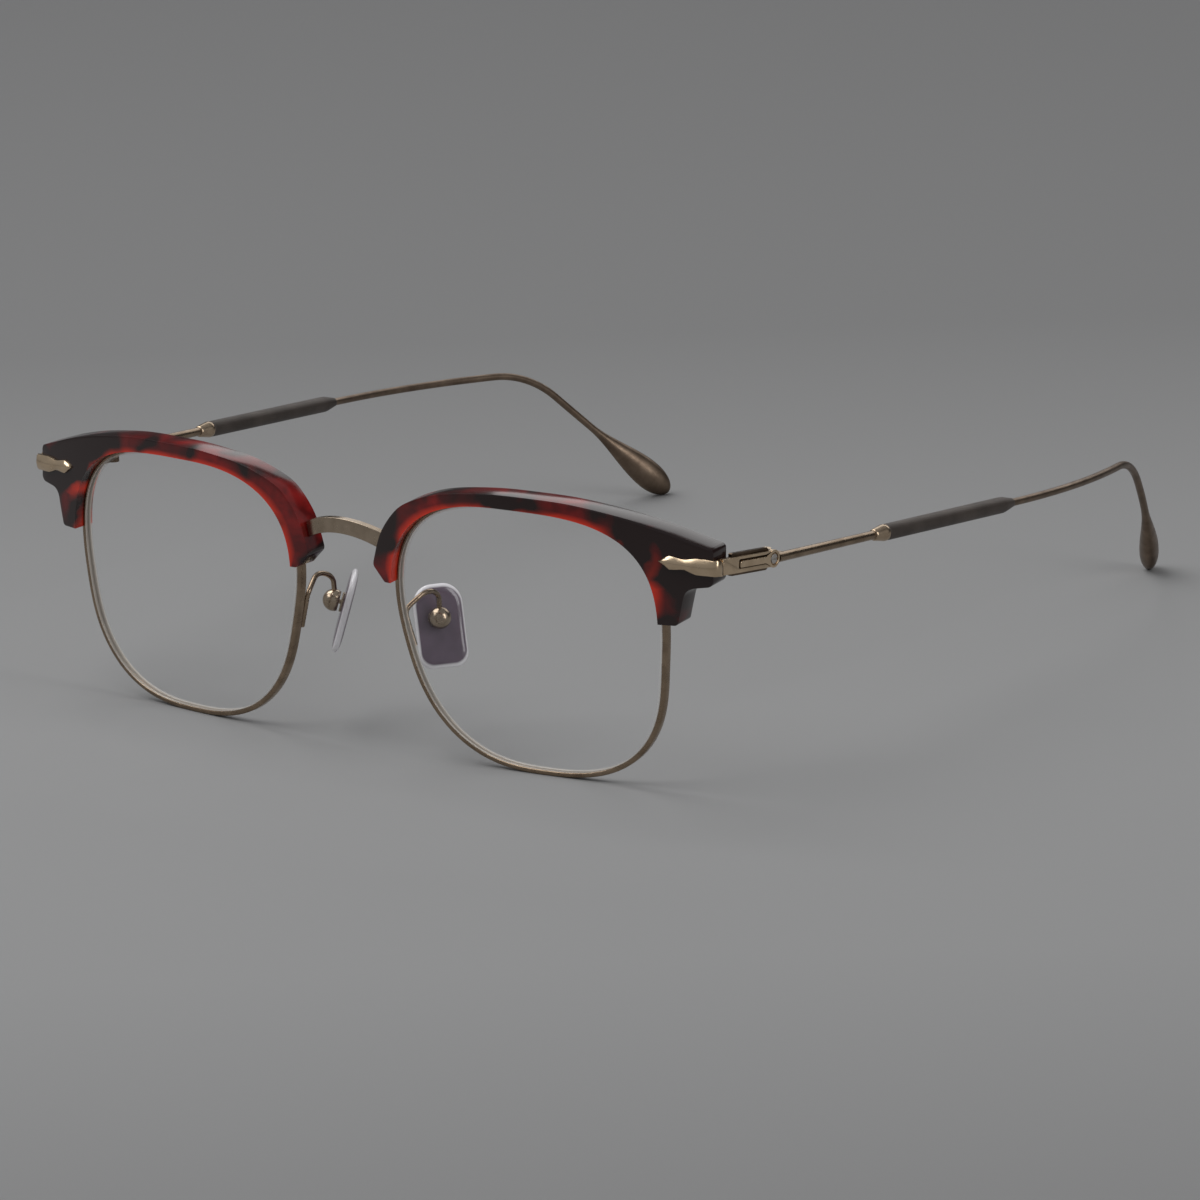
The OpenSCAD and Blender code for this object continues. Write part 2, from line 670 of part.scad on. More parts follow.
// Pad frame: origin at the pad's centre, X away from the nose, Z up the pad
module pad_frame() {
    translate(pad_centre) rotate([0, 0, -pad_splay]) rotate([0, -pad_lean, 0]) children();
}
function pad_point(p) =
    let (x1 = p[0] * cos(pad_lean) - p[2] * sin(pad_lean), z1 = p[0] * sin(pad_lean) + p[2] * cos(pad_lean))
    pad_centre + [x1 * cos(pad_splay) + p[1] * sin(pad_splay), -x1 * sin(pad_splay) + p[1] * cos(pad_splay), z1];

module pad_outline(shrink) {
    w = pad_w / 2 - shrink;
    h = pad_h / 2 - shrink;
    polygon(rounded([[-w, -h, 2.4], [w, -h, 2.4], [w, h, 3.4], [-w, h, 3.4]]));
}

module nose_pad() {
    color("#8b7a8c", 0.6) pad_frame() difference() {
        rotate([90, 0, 90]) translate([0, 0, -pad_t / 2]) {
            translate([0, 0, 0.3]) linear_extrude(pad_t - 0.6) pad_outline(0);
            linear_extrude(pad_t) pad_outline(0.4);
        }
        translate([0, button_at[1], button_at[2]]) rotate([0, 90, 0]) cylinder(r = 0.9, h = 3);
    }
}

module pad_insert() {
    color(bronze) pad_frame() translate([0, button_at[1], button_at[2]]) {
        rotate([0, 90, 0]) {
            translate([0, 0, seat]) cylinder(r = 0.88, h = pad_t / 2);
            translate([0, 0, pad_t / 2 + seat]) cylinder(r = 1.7, h = insert_t - seat);
            translate([0, 0, pad_t / 2]) cylinder(r = neck_r, h = button_at[0] + 0.4);
        }
        translate([button_at[0] + button_back, 0, 0]) sphere(r = ball_r);
    }
}

module pad_button() {
    color(bronze) pad_frame() translate(button_at) difference() {
        intersection() {
            translate([button_back, 0, 0]) sphere(r = button_r);
            translate([0, -4, -4]) cube([8, 8, 8]);
        }
        translate([button_back, 0, 0]) sphere(r = ball_r + run);
        translate([-0.5, 0, 0]) rotate([0, 90, 0]) cylinder(r1 = neck_r + 0.5, r2 = neck_r + 0.1, h = 1.1);
    }
}

// Arm wire: along the back of the rim, up, back and down to the button
arm_root_v = -5;
arm_off = -rim_d / 2 - arm_r - seat;
function arm_rim(v) = world(eye_edge(v, -1) + 0.15, v, arm_off);
button_top = pad_point(button_at + [button_back + 0.3, 0, button_r - 0.25]);
arm_corners = [arm_rim(arm_root_v), arm_rim(arm_root_v + 3), arm_rim(arm_root_v + 5.8) + [-0.3, 0, 0],
    world(eye_nose + 0.6, 1.8, -2.6),
    world(eye_nose + 1.9, 3.4, -5.8),
    button_top + [0.1, -0.1, 2.6],
    button_top];
function cut_corners(pts) = concat([pts[0]],
    [for (i = [0:len(pts) - 2]) each [pts[i] * 0.75 + pts[i + 1] * 0.25, pts[i] * 0.25 + pts[i + 1] * 0.75]],
    [pts[len(pts) - 1]]);

module pad_arm() {
    line = cut_corners(cut_corners(arm_corners));
    color(bronze) tube(line, [for (p = line) [arm_r, arm_r]], arm_sides);
}

// Puts a piece of the left side, or its mirror image, in the row frame
module left() {
    translate([0, -(front_y + back_y) / 2, 0]) children();
}
module right() {
    left() mirror([1, 0, 0]) children();
}
module both() {
    left() children();
    right() children();
}

left() bridge();
both() closing_screw();  // closing_screws
both() endpiece_screw();  // endpiece_screws
both() inlay_screw();  // inlay_screws
both() hinge_screw();  // hinge_screws
left() rim();  // rim_left
left() lens();  // lens_left
left() brow();  // brow_left
left() closing_block();  // closing_block_left
left() endpiece();  // endpiece_left
left() inlay();  // inlay_left
left() hinge_front();  // hinge_front_left
left() hinge_temple();  // hinge_temple_left
left() rod();  // rod_left
left() ferrule();  // ferrule_left
left() sleeve();  // sleeve_left
left() temple_tip();  // temple_tip_left
left() pad_arm();  // pad_arm_left
left() pad_button();  // pad_button_left
left() pad_insert();  // pad_insert_left
left() nose_pad();  // nose_pad_left
right() rim();  // rim_right
right() lens();  // lens_right
right() brow();  // brow_right
right() closing_block();  // closing_block_right
right() endpiece();  // endpiece_right
right() inlay();  // inlay_right
right() hinge_front();  // hinge_front_right
right() hinge_temple();  // hinge_temple_right
right() rod();  // rod_right
right() ferrule();  // ferrule_right
right() sleeve();  // sleeve_right
right() temple_tip();  // temple_tip_right
right() pad_arm();  // pad_arm_right
right() pad_button();  // pad_button_right
right() pad_insert();  // pad_insert_right
right() nose_pad();  // nose_pad_right
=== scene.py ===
# %% [markdown]
# Browline glasses, dressed in Blender.
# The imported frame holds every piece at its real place, in metres: +X is the wearer's left,
# the lenses face -Y, and the glasses stand on z = 0. The pieces that show most are modelled
# again here with rounded edges, the small ones are softened copies of their solids, and
# every piece gets a procedural finish.

# %% Load the frame
import bpy
import bmesh
import json
import math
from mathutils import Matrix, Vector

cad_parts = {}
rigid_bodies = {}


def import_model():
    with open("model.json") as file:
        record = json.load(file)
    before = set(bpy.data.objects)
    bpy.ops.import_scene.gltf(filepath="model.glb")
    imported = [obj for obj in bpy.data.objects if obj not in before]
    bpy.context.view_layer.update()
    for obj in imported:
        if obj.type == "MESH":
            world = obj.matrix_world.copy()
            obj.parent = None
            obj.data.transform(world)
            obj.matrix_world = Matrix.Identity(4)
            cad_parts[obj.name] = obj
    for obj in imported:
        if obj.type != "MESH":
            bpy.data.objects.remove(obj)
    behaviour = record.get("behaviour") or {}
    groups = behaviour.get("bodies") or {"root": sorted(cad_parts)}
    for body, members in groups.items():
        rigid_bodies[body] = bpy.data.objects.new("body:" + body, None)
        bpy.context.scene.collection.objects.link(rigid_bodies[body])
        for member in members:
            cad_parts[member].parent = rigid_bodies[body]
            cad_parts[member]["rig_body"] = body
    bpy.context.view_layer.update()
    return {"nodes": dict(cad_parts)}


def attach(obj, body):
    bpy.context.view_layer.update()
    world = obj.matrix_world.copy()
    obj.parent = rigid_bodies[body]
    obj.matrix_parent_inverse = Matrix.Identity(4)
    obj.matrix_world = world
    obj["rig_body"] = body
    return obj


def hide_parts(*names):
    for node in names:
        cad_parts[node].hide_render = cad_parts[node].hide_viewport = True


MM = 0.001

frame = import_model()
nodes = frame["nodes"]
scene = bpy.context.scene

# %% [markdown]
# The camera stands where the photograph was taken from. A camera can be aimed by a
# constraint, but the picture has a small roll, so its three axes are given as unit vectors.
# The lens is long, as in a catalogue picture, and the camera is more than a metre away.

# %% Camera
IMAGE_PX = 1200
FOCAL_PX = 7507.3
SENSOR_MM = 36.0
CLIP_NEAR, CLIP_FAR = 0.05, 20
CAMERA_AT = Vector((0.766972, -1.018697, 0.356400))
CAMERA_RIGHT = Vector((0.800999, 0.597628, -0.035225))
CAMERA_UP = Vector((-0.131092, 0.232505, 0.963720))
CAMERA_BACK = Vector((0.584137, -0.767321, 0.264580))

camera_data = bpy.data.cameras.new("camera")
camera = bpy.data.objects.new("camera", camera_data)
scene.collection.objects.link(camera)
camera_data.sensor_width = SENSOR_MM
camera_data.lens = FOCAL_PX / IMAGE_PX * SENSOR_MM
camera_data.clip_start = CLIP_NEAR
camera_data.clip_end = CLIP_FAR
turn = Matrix((CAMERA_RIGHT, CAMERA_UP, CAMERA_BACK)).transposed().to_4x4()
camera.matrix_world = Matrix.Translation(CAMERA_AT) @ turn
scene.camera = camera
print("lens in mm:", round(camera_data.lens, 1))

# %% [markdown]
# The glasses stand on a paper sweep: floor and wall are one sheet, so no horizon shows. A
# plane and a second plane behind it would leave a crease. One edge is pulled back, spun up
# in a wide curve and raised, and the whole line is then drawn out sideways.

# %% Floor sheet
SHEET_NEAR, SHEET_HALF = -3, 4
CURVE_AT, CURVE_R, CURVE_STEPS = 2.4, 1.2, 24
WALL_HEIGHT = 3


def new_object(name, bm):
    """A mesh object from a bmesh, which is freed."""
    mesh = bpy.data.meshes.new(name)
    bm.to_mesh(mesh)
    bm.free()
    made = bpy.data.objects.new(name, mesh)
    scene.collection.objects.link(made)
    return made


def make_floor():
    bm = bmesh.new()
    near = bm.verts.new((0, SHEET_NEAR, 0))
    bend = bm.verts.new((0, CURVE_AT, 0))
    bm.edges.new((near, bend))
    bmesh.ops.spin(bm, geom=[bend], cent=(0, CURVE_AT, CURVE_R), axis=(1, 0, 0),
                   angle=math.radians(90), steps=CURVE_STEPS)
    top = max(bm.verts, key=lambda v: v.co.z)
    raised = bmesh.ops.extrude_vert_indiv(bm, verts=[top])["verts"]
    bmesh.ops.translate(bm, verts=raised, vec=(0, 0, WALL_HEIGHT))
    wide = bmesh.ops.extrude_edge_only(bm, edges=bm.edges[:])["geom"]
    moved = [g for g in wide if isinstance(g, bmesh.types.BMVert)]
    bmesh.ops.translate(bm, verts=bm.verts[:], vec=(-SHEET_HALF, 0, 0))
    bmesh.ops.translate(bm, verts=moved, vec=(2 * SHEET_HALF, 0, 0))
    bmesh.ops.recalc_face_normals(bm, faces=bm.faces[:])
    made = new_object("floor", bm)
    for face in made.data.polygons:
        face.use_smooth = True
    return made


floor = make_floor()
print("floor faces:", len(floor.data.polygons))

# %% [markdown]
# Metal and polished acetate show what stands round them, so three large soft lamps stand
# apart and leave long, calm highlights, where small lamps would leave dots. An even world
# fills the shadows. Together they light the object at a plain level.

# %% Lamps and world
AIM = Vector((0, 0, 0.02))
# Lamp: name, place and size in metres, power in watts
LAMPS = [
    ("key", (-0.55, -0.3, 1.15), (1.5, 1.1), 16.0),
    ("side", (1.3, 0.0, 0.6), (0.4, 1.0), 5.6),
    ("back", (-0.3, 1.3, 0.8), (1.6, 0.7), 4.2),
]
WORLD_COLOUR = (0.95, 0.97, 1.0, 1)
WORLD_STRENGTH = 0.3


def add_lamp(name, place, size, power):
    light = bpy.data.lights.new(name, "AREA")
    light.shape = "RECTANGLE"
    light.size, light.size_y = size
    light.energy = power
    lamp = bpy.data.objects.new(name, light)
    scene.collection.objects.link(lamp)
    lamp.location = place
    lamp.rotation_euler = (AIM - Vector(place)).to_track_quat("-Z", "Y").to_euler()


for lamp_row in LAMPS:
    add_lamp(*lamp_row)
world = bpy.data.worlds.new("world")
scene.world = world
world.use_nodes = True
background = world.node_tree.nodes["Background"]
background.inputs["Color"].default_value = WORLD_COLOUR
background.inputs["Strength"].default_value = WORLD_STRENGTH
scene.view_settings.view_transform = "Standard"

# %% [markdown]
# Shader maths could be wired node by node, but it reads best as an ordinary expression. A
# Value wraps one socket, and +, -, * and ** on it add Math nodes to the same material. The
# forms with the number first are there too, so that 1 - mask works.

# %% Shader values
class Value:
    def __init__(self, graph, socket):
        self.graph = graph
        self.socket = socket

    def _math(self, operation, a, b):
        return self.graph.node("ShaderNodeMath", {"operation": operation}, {0: a, 1: b})

    def __add__(self, other):
        return self._math("ADD", self, other)

    def __radd__(self, other):
        return self._math("ADD", other, self)

    def __sub__(self, other):
        return self._math("SUBTRACT", self, other)

    def __rsub__(self, other):
        return self._math("SUBTRACT", other, self)

    def __mul__(self, other):
        return self._math("MULTIPLY", self, other)

    def __rmul__(self, other):
        return self._math("MULTIPLY", other, self)

    def __pow__(self, other):
        return self._math("POWER", self, other)


print("shader values:", Value.__name__)

# %% [markdown]
# A Graph is one material. Any node comes from its one method that takes the node's type, its
# settings and the values or links of its sockets. The common ones, noise, span, mix and
# bump, have short names of their own. Patterns read Object coordinates, which stay with the
# piece when it moves.

# %% Shader graph
class Graph:
    """The nodes of one material, with its Principled BSDF."""

    def __init__(self, name):
        self.material = bpy.data.materials.new(name)
        self.material.use_nodes = True
        self.tree = self.material.node_tree
        self.shader = self.tree.nodes["Principled BSDF"]
        self.place = self.node("ShaderNodeTexCoord", {}, {}, "Object")

    def node(self, kind, settings, inputs, output=0):
        """Adds a node: its settings first, then its sockets' values or links."""
        made = self.tree.nodes.new(kind)
        for name, value in settings.items():
            if name == "stops":
                self.set_stops(made.color_ramp, value)
            else:
                setattr(made, name, value)
        for name, value in inputs.items():
            self.feed(made.inputs[name], value)
        return Value(self, made.outputs[output])

    def set_stops(self, ramp, stops):
        while len(ramp.elements) < len(stops):
            ramp.elements.new(0.5)
        for stop, (place, colour) in zip(ramp.elements, stops):
            stop.position = place
            stop.color = (*colour, 1)

    def feed(self, socket, value):
        """Links a Value to a socket, or sets the socket to a plain value."""
        if isinstance(value, Value):
            self.tree.links.new(value.socket, socket)
        elif isinstance(value, tuple) and len(value) == 3 and socket.type == "RGBA":
            socket.default_value = (*value, 1)
        else:
            socket.default_value = value

    def noise(self, scale, detail=3.0, rough=0.5, stretch=(1, 1, 1), distort=0.0):
        """A noise value from 0 to 1, with its size in bumps per metre."""
        mapped = self.node("ShaderNodeMapping", {}, {"Vector": self.place, "Scale": stretch})
        inputs = {"Vector": mapped, "Scale": scale, "Detail": detail, "Roughness": rough}
        inputs["Distortion"] = distort
        return self.node("ShaderNodeTexNoise", {}, inputs)

    def attribute(self, name):
        """The value that a loft wrote on the points of its piece."""
        return self.node("ShaderNodeAttribute", {"attribute_name": name}, {}, "Fac")

    def span(self, value, low, high, to_low=0.0, to_high=1.0):
        """Stretches low..high to to_low..to_high, and holds it there."""
        inputs = {"Value": value, "From Min": low, "From Max": high}
        inputs.update({"To Min": to_low, "To Max": to_high})
        return self.node("ShaderNodeMapRange", {"clamp": True}, inputs)

    def mix(self, factor, first, second):
        """Blends two colours."""
        made = self.tree.nodes.new("ShaderNodeMix")
        made.data_type = "RGBA"
        self.feed(made.inputs[0], factor)
        self.feed(made.inputs[6], first)
        self.feed(made.inputs[7], second)
        return Value(self, made.outputs[2])

    def bump(self, height, strength, distance):
        """Feeds the shader's normal with a height in metres."""
        inputs = {"Height": height, "Strength": strength, "Distance": distance}
        self.feed(self.shader.inputs["Normal"], self.node("ShaderNodeBump", {}, inputs))

    def finish(self, **sockets):
        """Sets the shader's sockets, with _ for a blank, and returns the material."""
        for name, value in sockets.items():
            self.feed(self.shader.inputs[name.replace("_", " ")], value)
        return self.material


print("shader sockets:", len(Graph("probe").shader.inputs))
bpy.data.materials.remove(bpy.data.materials["probe"])

# %% [markdown]
# Plated metal is never one flat tone. The plating is a little cloudy, rubbed and finely
# scratched. A picture of metal could be laid on, but it would need a map for each piece. One
# function makes each metal from its colour and a darker one, with soft clouds between them,
# uneven roughness, and fine grain in the bump.

# %% Metals
def plated(name, colour, dark, rough, grain=0.1):
    g = Graph(name)
    clouds = g.noise(scale=260, detail=4.0, rough=0.6)
    fine = g.noise(scale=5200, detail=2.0)
    scratches = g.noise(scale=900, rough=0.7, stretch=(1, 0.12, 1), distort=0.4)
    tone = g.span(clouds, 0.35, 0.68)
    g.bump(fine * 0.5 + scratches, strength=grain, distance=0.03 * MM)
    roughness = rough + 0.1 * g.span(scratches, 0.3, 0.75) - 0.04 * tone
    return g.finish(Base_Color=g.mix(tone, dark, colour), Roughness=roughness, Metallic=1.0)


BRONZE = plated("bronze", (0.36, 0.27, 0.19), (0.24, 0.175, 0.12), rough=0.24)
DARK_BRONZE = plated("dark_bronze", (0.17, 0.12, 0.085), (0.10, 0.07, 0.048), rough=0.26)
TIP_BRONZE = plated("tip_bronze", (0.25, 0.185, 0.135), (0.15, 0.108, 0.078), rough=0.34, grain=0.25)
GOLD = plated("gold", (0.74, 0.575, 0.40), (0.58, 0.44, 0.295), rough=0.2, grain=0.08)
PALE_BRONZE = plated("pale_bronze", (0.56, 0.44, 0.31), (0.40, 0.30, 0.21), rough=0.22)
PEWTER = plated("pewter", (0.48, 0.385, 0.29), (0.33, 0.26, 0.19), rough=0.22)
STEEL = plated("turned_steel", (0.66, 0.63, 0.59), (0.50, 0.47, 0.44), rough=0.22)
METALS = (BRONZE, DARK_BRONZE, TIP_BRONZE, GOLD, PALE_BRONZE, PEWTER, STEEL)
print("metals:", [metal.name for metal in METALS])

# %% [markdown]
# The sweep is plain grey paper. In the photograph it is lightest under the glasses and
# falls off towards the back. More lamps could do that, but they would change the light on
# the object, so a ramp along the line of sight does it in the paper's colour. A little cloud
# and grain keep it from looking painted.

# %% Floor finish
FLOOR_GREY = 0.235
FLOOR_CLOUD = (0.3, 0.3, 0.31)
AWAY = (-0.605, 0.795, 0)
AWAY_FROM, AWAY_TO = -0.35, 0.65
# Ramp: share of the way from AWAY_FROM to AWAY_TO, and share of the grey
FALL = [(0.05, 0.84), (0.165, 1.03), (0.3, 1.06), (0.42, 0.96), (0.58, 0.72), (0.95, 0.66)]


def floor_finish():
    g = Graph("floor_paper")
    cloud = g.noise(scale=1.7)
    away = g.node("ShaderNodeVectorMath", {"operation": "DOT_PRODUCT"}, {0: g.place, 1: AWAY}, "Value")
    stops = [(place, (share * FLOOR_GREY,) * 3) for place, share in FALL]
    along = g.span(away, AWAY_FROM, AWAY_TO)
    tone = g.node("ShaderNodeValToRGB", {"stops": stops}, {"Fac": along})
    colour = g.mix(g.span(cloud, 0.2, 0.8, 0, 0.06), tone, FLOOR_CLOUD)
    g.bump(g.noise(scale=900, detail=2.0), strength=0.04, distance=0.1 * MM)
    return g.finish(Base_Color=colour, Roughness=0.75 + 0.1 * cloud, Specular_IOR_Level=0.2)


floor.data.materials.append(floor_finish())
print("floor:", floor.data.materials[0].name)

# %% [markdown]
# Tortoise acetate is deep red sheet with dark, smoky blotches pressed into it, cut and
# polished. Light that enters its front comes out along the edge round the lens, so the red
# glows there. Real transmission would be slow and wouldn't bake, so the loft of the brow
# writes that place to an attribute named edge, 1 at the lens and 0 at the outer side, and
# the finish reads it. The sheet is darker towards its two outer ends, and its polish is a
# thin clear coat.

# %% Acetate
ACETATE_BLACK = (0.016, 0.0075, 0.007)
ACETATE_DEEP = (0.095, 0.005, 0.005)
ACETATE_RED = (0.235, 0.009, 0.008)
ACETATE_LIT = (0.66, 0.033, 0.011)
DARK_FROM, DARK_TO = 0.044, 0.058


def tortoise():
    g = Graph("tortoise_acetate")
    edge = g.attribute("edge")
    across = g.node("ShaderNodeSeparateXYZ", {}, {"Vector": g.place})
    ends = g.span(g.node("ShaderNodeMath", {"operation": "ABSOLUTE"}, {0: across}), DARK_FROM, DARK_TO)
    blotch = g.noise(scale=118, detail=1.5, rough=0.45, stretch=(1, 1, 1.25), distort=0.5)
    smoke = g.noise(scale=300, detail=2.0, stretch=(1, 1, 1.3), distort=0.4)
    red = g.mix(g.span(smoke, 0.35, 0.68), ACETATE_DEEP, ACETATE_RED)
    lit = g.mix(g.span(edge, 0.62, 1.0), red, ACETATE_LIT)
    cover = g.span(blotch + 0.14 * smoke + 0.2 * ends - 0.12 * edge ** 3, 0.49, 0.67)
    colour = g.mix(cover, lit, ACETATE_BLACK)
    g.bump(g.noise(scale=500, detail=2.0), strength=0.03, distance=0.02 * MM)
    rough = 0.12 + 0.05 * smoke
    return g.finish(Base_Color=colour, Roughness=rough, IOR=1.49, Coat_Weight=0.05, Coat_Roughness=0.03)


ACETATE = tortoise()
print("acetate:", ACETATE.name)

# %% [markdown]
# The sleeve is a dull, dark tube drawn over the wire. Its look is all in the surface: a
# fine grain in the bump, and a roughness that follows it.

# %% Sleeve tube
def sleeve_finish():
    g = Graph("sleeve_tube")
    grain = g.noise(scale=3800, detail=4.0, rough=0.6)
    cloud = g.noise(scale=180)
    g.bump(grain, strength=0.35, distance=0.04 * MM)
    colour = g.mix(g.span(cloud, 0.3, 0.7), (0.040, 0.031, 0.026), (0.075, 0.060, 0.051))
    return g.finish(Base_Color=colour, Roughness=0.42 + 0.12 * grain, Metallic=0.35)


SLEEVE = sleeve_finish()
print("sleeve:", SLEEVE.name)

# %% [markdown]
# The pads are soft clear plastic that looks mauve, with a pale rim where the light comes
# out. The lenses are clear: only their edges and a faint sheen show. Transmission would
# bend what lies behind, as thick glass does. Sheets as thin as these let the light through
# nearly straight, so both are see-through by their alpha. Their lofts write an attribute
# named outer, 0 in the middle and 1 at the rim.

# %% Pads and lenses
PAD_MAUVE, PAD_PALE_MAUVE = (0.105, 0.074, 0.105), (0.15, 0.11, 0.15)
PAD_RIM = (0.93, 0.91, 0.94)
LENS_FACE, LENS_RIM = (0.82, 0.86, 0.87), (0.86, 0.80, 0.72)


def pad_finish():
    g = Graph("soft_pad")
    cloud = g.noise(scale=240)
    rim = g.span(g.attribute("outer"), 0.895, 0.945)
    mauve = g.mix(g.span(cloud, 0.3, 0.7), PAD_MAUVE, PAD_PALE_MAUVE)
    colour = g.mix(rim, mauve, PAD_RIM)
    g.bump(g.noise(scale=2600), strength=0.1, distance=0.03 * MM)
    alpha = 0.8 - 0.08 * rim + 0.1 * cloud
    return g.finish(Base_Color=colour, Roughness=0.12 + 0.1 * cloud, IOR=1.43, Alpha=alpha, Coat_Weight=0.4)


def lens_finish():
    g = Graph("clear_lens")
    facing = g.node("ShaderNodeLayerWeight", {}, {"Blend": 0.25}, "Facing")
    smear = g.noise(scale=60, detail=4.0, rough=0.6)
    rim = g.span(g.attribute("outer"), 0.985, 1.0)
    alpha = 0.008 + 0.3 * facing ** 4 + 0.008 * smear + 0.4 * rim
    tint = g.mix(rim, LENS_FACE, LENS_RIM)
    return g.finish(Base_Color=tint, Roughness=0.03 + 0.03 * smear, IOR=1.5, Alpha=alpha)


PAD = pad_finish()
LENS = lens_finish()
print("clear materials:", PAD.name, LENS.name)

# %% [markdown]
# One helper carries most modelled pieces. A loft pulls a closed ring of points along the
# piece: each step extrudes the ring's edges and moves the new points to the next station.
# A curve with a bevel could do it for a plain wire, but not where the section changes.

# %% Loft
def ring_after(ring, made):
    """The new points of an extrusion, in the order of the ring they came from."""
    fresh = {g for g in made if isinstance(g, bmesh.types.BMVert)}
    return [next(e.other_vert(v) for e in v.link_edges if e.other_vert(v) in fresh) for v in ring]


def ring_edges(bm, ring):
    return [bm.edges.get((ring[i - 1], ring[i])) for i in range(len(ring))]


def loft(bm, stations, closed=False, tags=None):
    """Pulls a ring through stations, each a list of places. tags gives each point's attributes."""
    layers = {}
    for name in tags or {}:
        layers[name] = bm.verts.layers.float.get(name) or bm.verts.layers.float.new(name)
    ring = [bm.verts.new(p) for p in stations[0]]
    for i in range(len(ring)):
        bm.edges.new((ring[i - 1], ring[i]))
    rings = [ring]
    for places in stations[1:]:
        made = bmesh.ops.extrude_edge_only(bm, edges=ring_edges(bm, ring))["geom"]
        ring = ring_after(ring, made)
        for vert, place in zip(ring, places):
            vert.co = place
        rings.append(ring)
    for name, values in (tags or {}).items():
        for ring, row in zip(rings, values):
            for vert, value in zip(ring, row):
                vert[layers[name]] = value
    if closed:
        bmesh.ops.bridge_loops(bm, edges=ring_edges(bm, rings[-1]) + ring_edges(bm, rings[0]))
    else:
        for end in (rings[0], rings[-1]):
            bmesh.ops.contextual_create(bm, geom=ring_edges(bm, end))
    return rings


prism = bmesh.new()
prism_rings = loft(prism, [[(0, 0, z), (MM, 0, z), (0, MM, z)] for z in (0, MM)])
print("faces of a lofted prism:", len(prism.faces))

# %% [markdown]
# No made edge is perfectly sharp. On a loft the edges that run along it are picked by their
# corner of the ring and rounded at once with a bevel, so that the mesh itself holds the
# round edge that the light catches.

# %% Rounded edges
def long_edges(bm, rings, corners, closed=False):
    """The edges that run along a loft at some of its ring's corners."""
    pairs = list(zip(rings, rings[1:])) + ([(rings[-1], rings[0])] if closed else [])
    return [bm.edges.get((a[k], b[k])) for a, b in pairs for k in corners]


def round_off(bm, edges, width, segments=3):
    """Rounds edges of a bmesh by a width in millimetres."""
    bmesh.ops.bevel(bm, geom=edges, offset=width * MM, offset_type="OFFSET", affect="EDGES",
                    segments=segments, profile=0.5, material=-1, clamp_overlap=True)


round_off(prism, long_edges(prism, prism_rings, (0,)), 0.1)
print("faces with one edge rounded:", len(prism.faces))
prism.free()

# %% [markdown]
# Nearly every piece comes as a pair. Only the left one is shaped, and the right one is its
# mirror image, as the two are stamped and milled from mirrored tools. Mirroring turns a
# mesh inside out, so its normals are worked out again. Each piece then rides on its body, in
# place of its node.

# %% Mirrored pairs
MERGE_NEW = 1e-7


def mirrored(bm):
    """A copy of a bmesh on the other side of the X = 0 plane."""
    other = bm.copy()
    bmesh.ops.scale(other, vec=(-1, 1, 1), verts=other.verts[:])
    return other


def smooth(piece, angle):
    """Shades a piece smooth, except across edges sharper than the angle."""
    for face in piece.data.polygons:
        face.use_smooth = True
    piece.data.set_sharp_from_angle(angle=math.radians(angle))


def place_pair(name, bm, material, body="front", angle=40):
    """The left piece and its mirror image, riding on their bodies in place of their nodes."""
    made = []
    for side, shape in (("left", bm), ("right", mirrored(bm))):
        bmesh.ops.remove_doubles(shape, verts=shape.verts[:], dist=MERGE_NEW)
        bmesh.ops.recalc_face_normals(shape, faces=shape.faces[:])
        piece = new_object(f"{name}_shape_{side}", shape)
        piece.data.materials.append(material)
        smooth(piece, angle)
        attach(piece, body if body == "front" else f"{body}_{side}")
        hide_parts(f"{name}_{side}")
        made.append(piece)
    return made


# %% [markdown]
# The front is curved like a slice of a large ball, wrapped a little round the face and
# leaning forwards. Every piece of it is laid out flat first: u runs out to the temple, v
# runs up, and off is the height over the ball, all in millimetres. One function then puts
# such a place where it belongs on the left side, so a piece needn't be bent afterwards.

# %% Lens plane
EYE_CENTRE = Vector((36.9, -79.398, 23.8732))
BASE_R = 160
WRAP = math.radians(5.5)
TILT = math.radians(2)


def on_front(u, v, off):
    """A place on the left front, in metres."""
    w = math.sqrt((BASE_R + off) ** 2 - u * u - v * v) - BASE_R
    y1 = -w * math.cos(TILT) - v * math.sin(TILT)
    z1 = v * math.cos(TILT) - w * math.sin(TILT)
    x = u * math.cos(WRAP) - y1 * math.sin(WRAP)
    y = u * math.sin(WRAP) + y1 * math.cos(WRAP)
    return (EYE_CENTRE + Vector((x, y, z1))) * MM


print("middle of the front's curve in mm:", [round(c / MM, 2) for c in on_front(0, 0, 0)])

# %% [markdown]
# The eye wire's outline is a square with very round corners. It could be traced by hand
# with a curve, but one formula gives it: a flattened circle, whose powers set how square
# each part is, a little wider at the top and leaning towards the nose. The points are drawn
# towards the corners, where the outline bends most.

# %% Eye outline
EYE_OUT, EYE_IN, EYE_UP, EYE_DOWN = 25.6, 23.9, 26.4, 19.3
EYE_MIDDLE = (-0.8, -4.2)
POWER_LOW, POWER_SIDE, POWER_NOSE = 2.7, 3.1, 2.45
CORNER_DRAW = 8.6
WIDER_UP, LEAN = 0.0075, 0.09
RIM_HALF = 0.425


def eye_at(degrees):
    """The middle of the eye wire at an angle, seen from the front."""
    a = math.radians(degrees - CORNER_DRAW * math.sin(math.radians(4 * degrees)))
    c, s = math.cos(a), math.sin(a)
    power = POWER_LOW if s < 0 else POWER_SIDE if c >= 0 else POWER_NOSE
    x = (EYE_OUT if c >= 0 else EYE_IN) * math.copysign(abs(c) ** (2 / power), c)
    y = (EYE_UP if s >= 0 else EYE_DOWN) * math.copysign(abs(s) ** (2 / power), s)
    return Vector((x * (1 + WIDER_UP * y) - LEAN * y + EYE_MIDDLE[0], y + EYE_MIDDLE[1]))


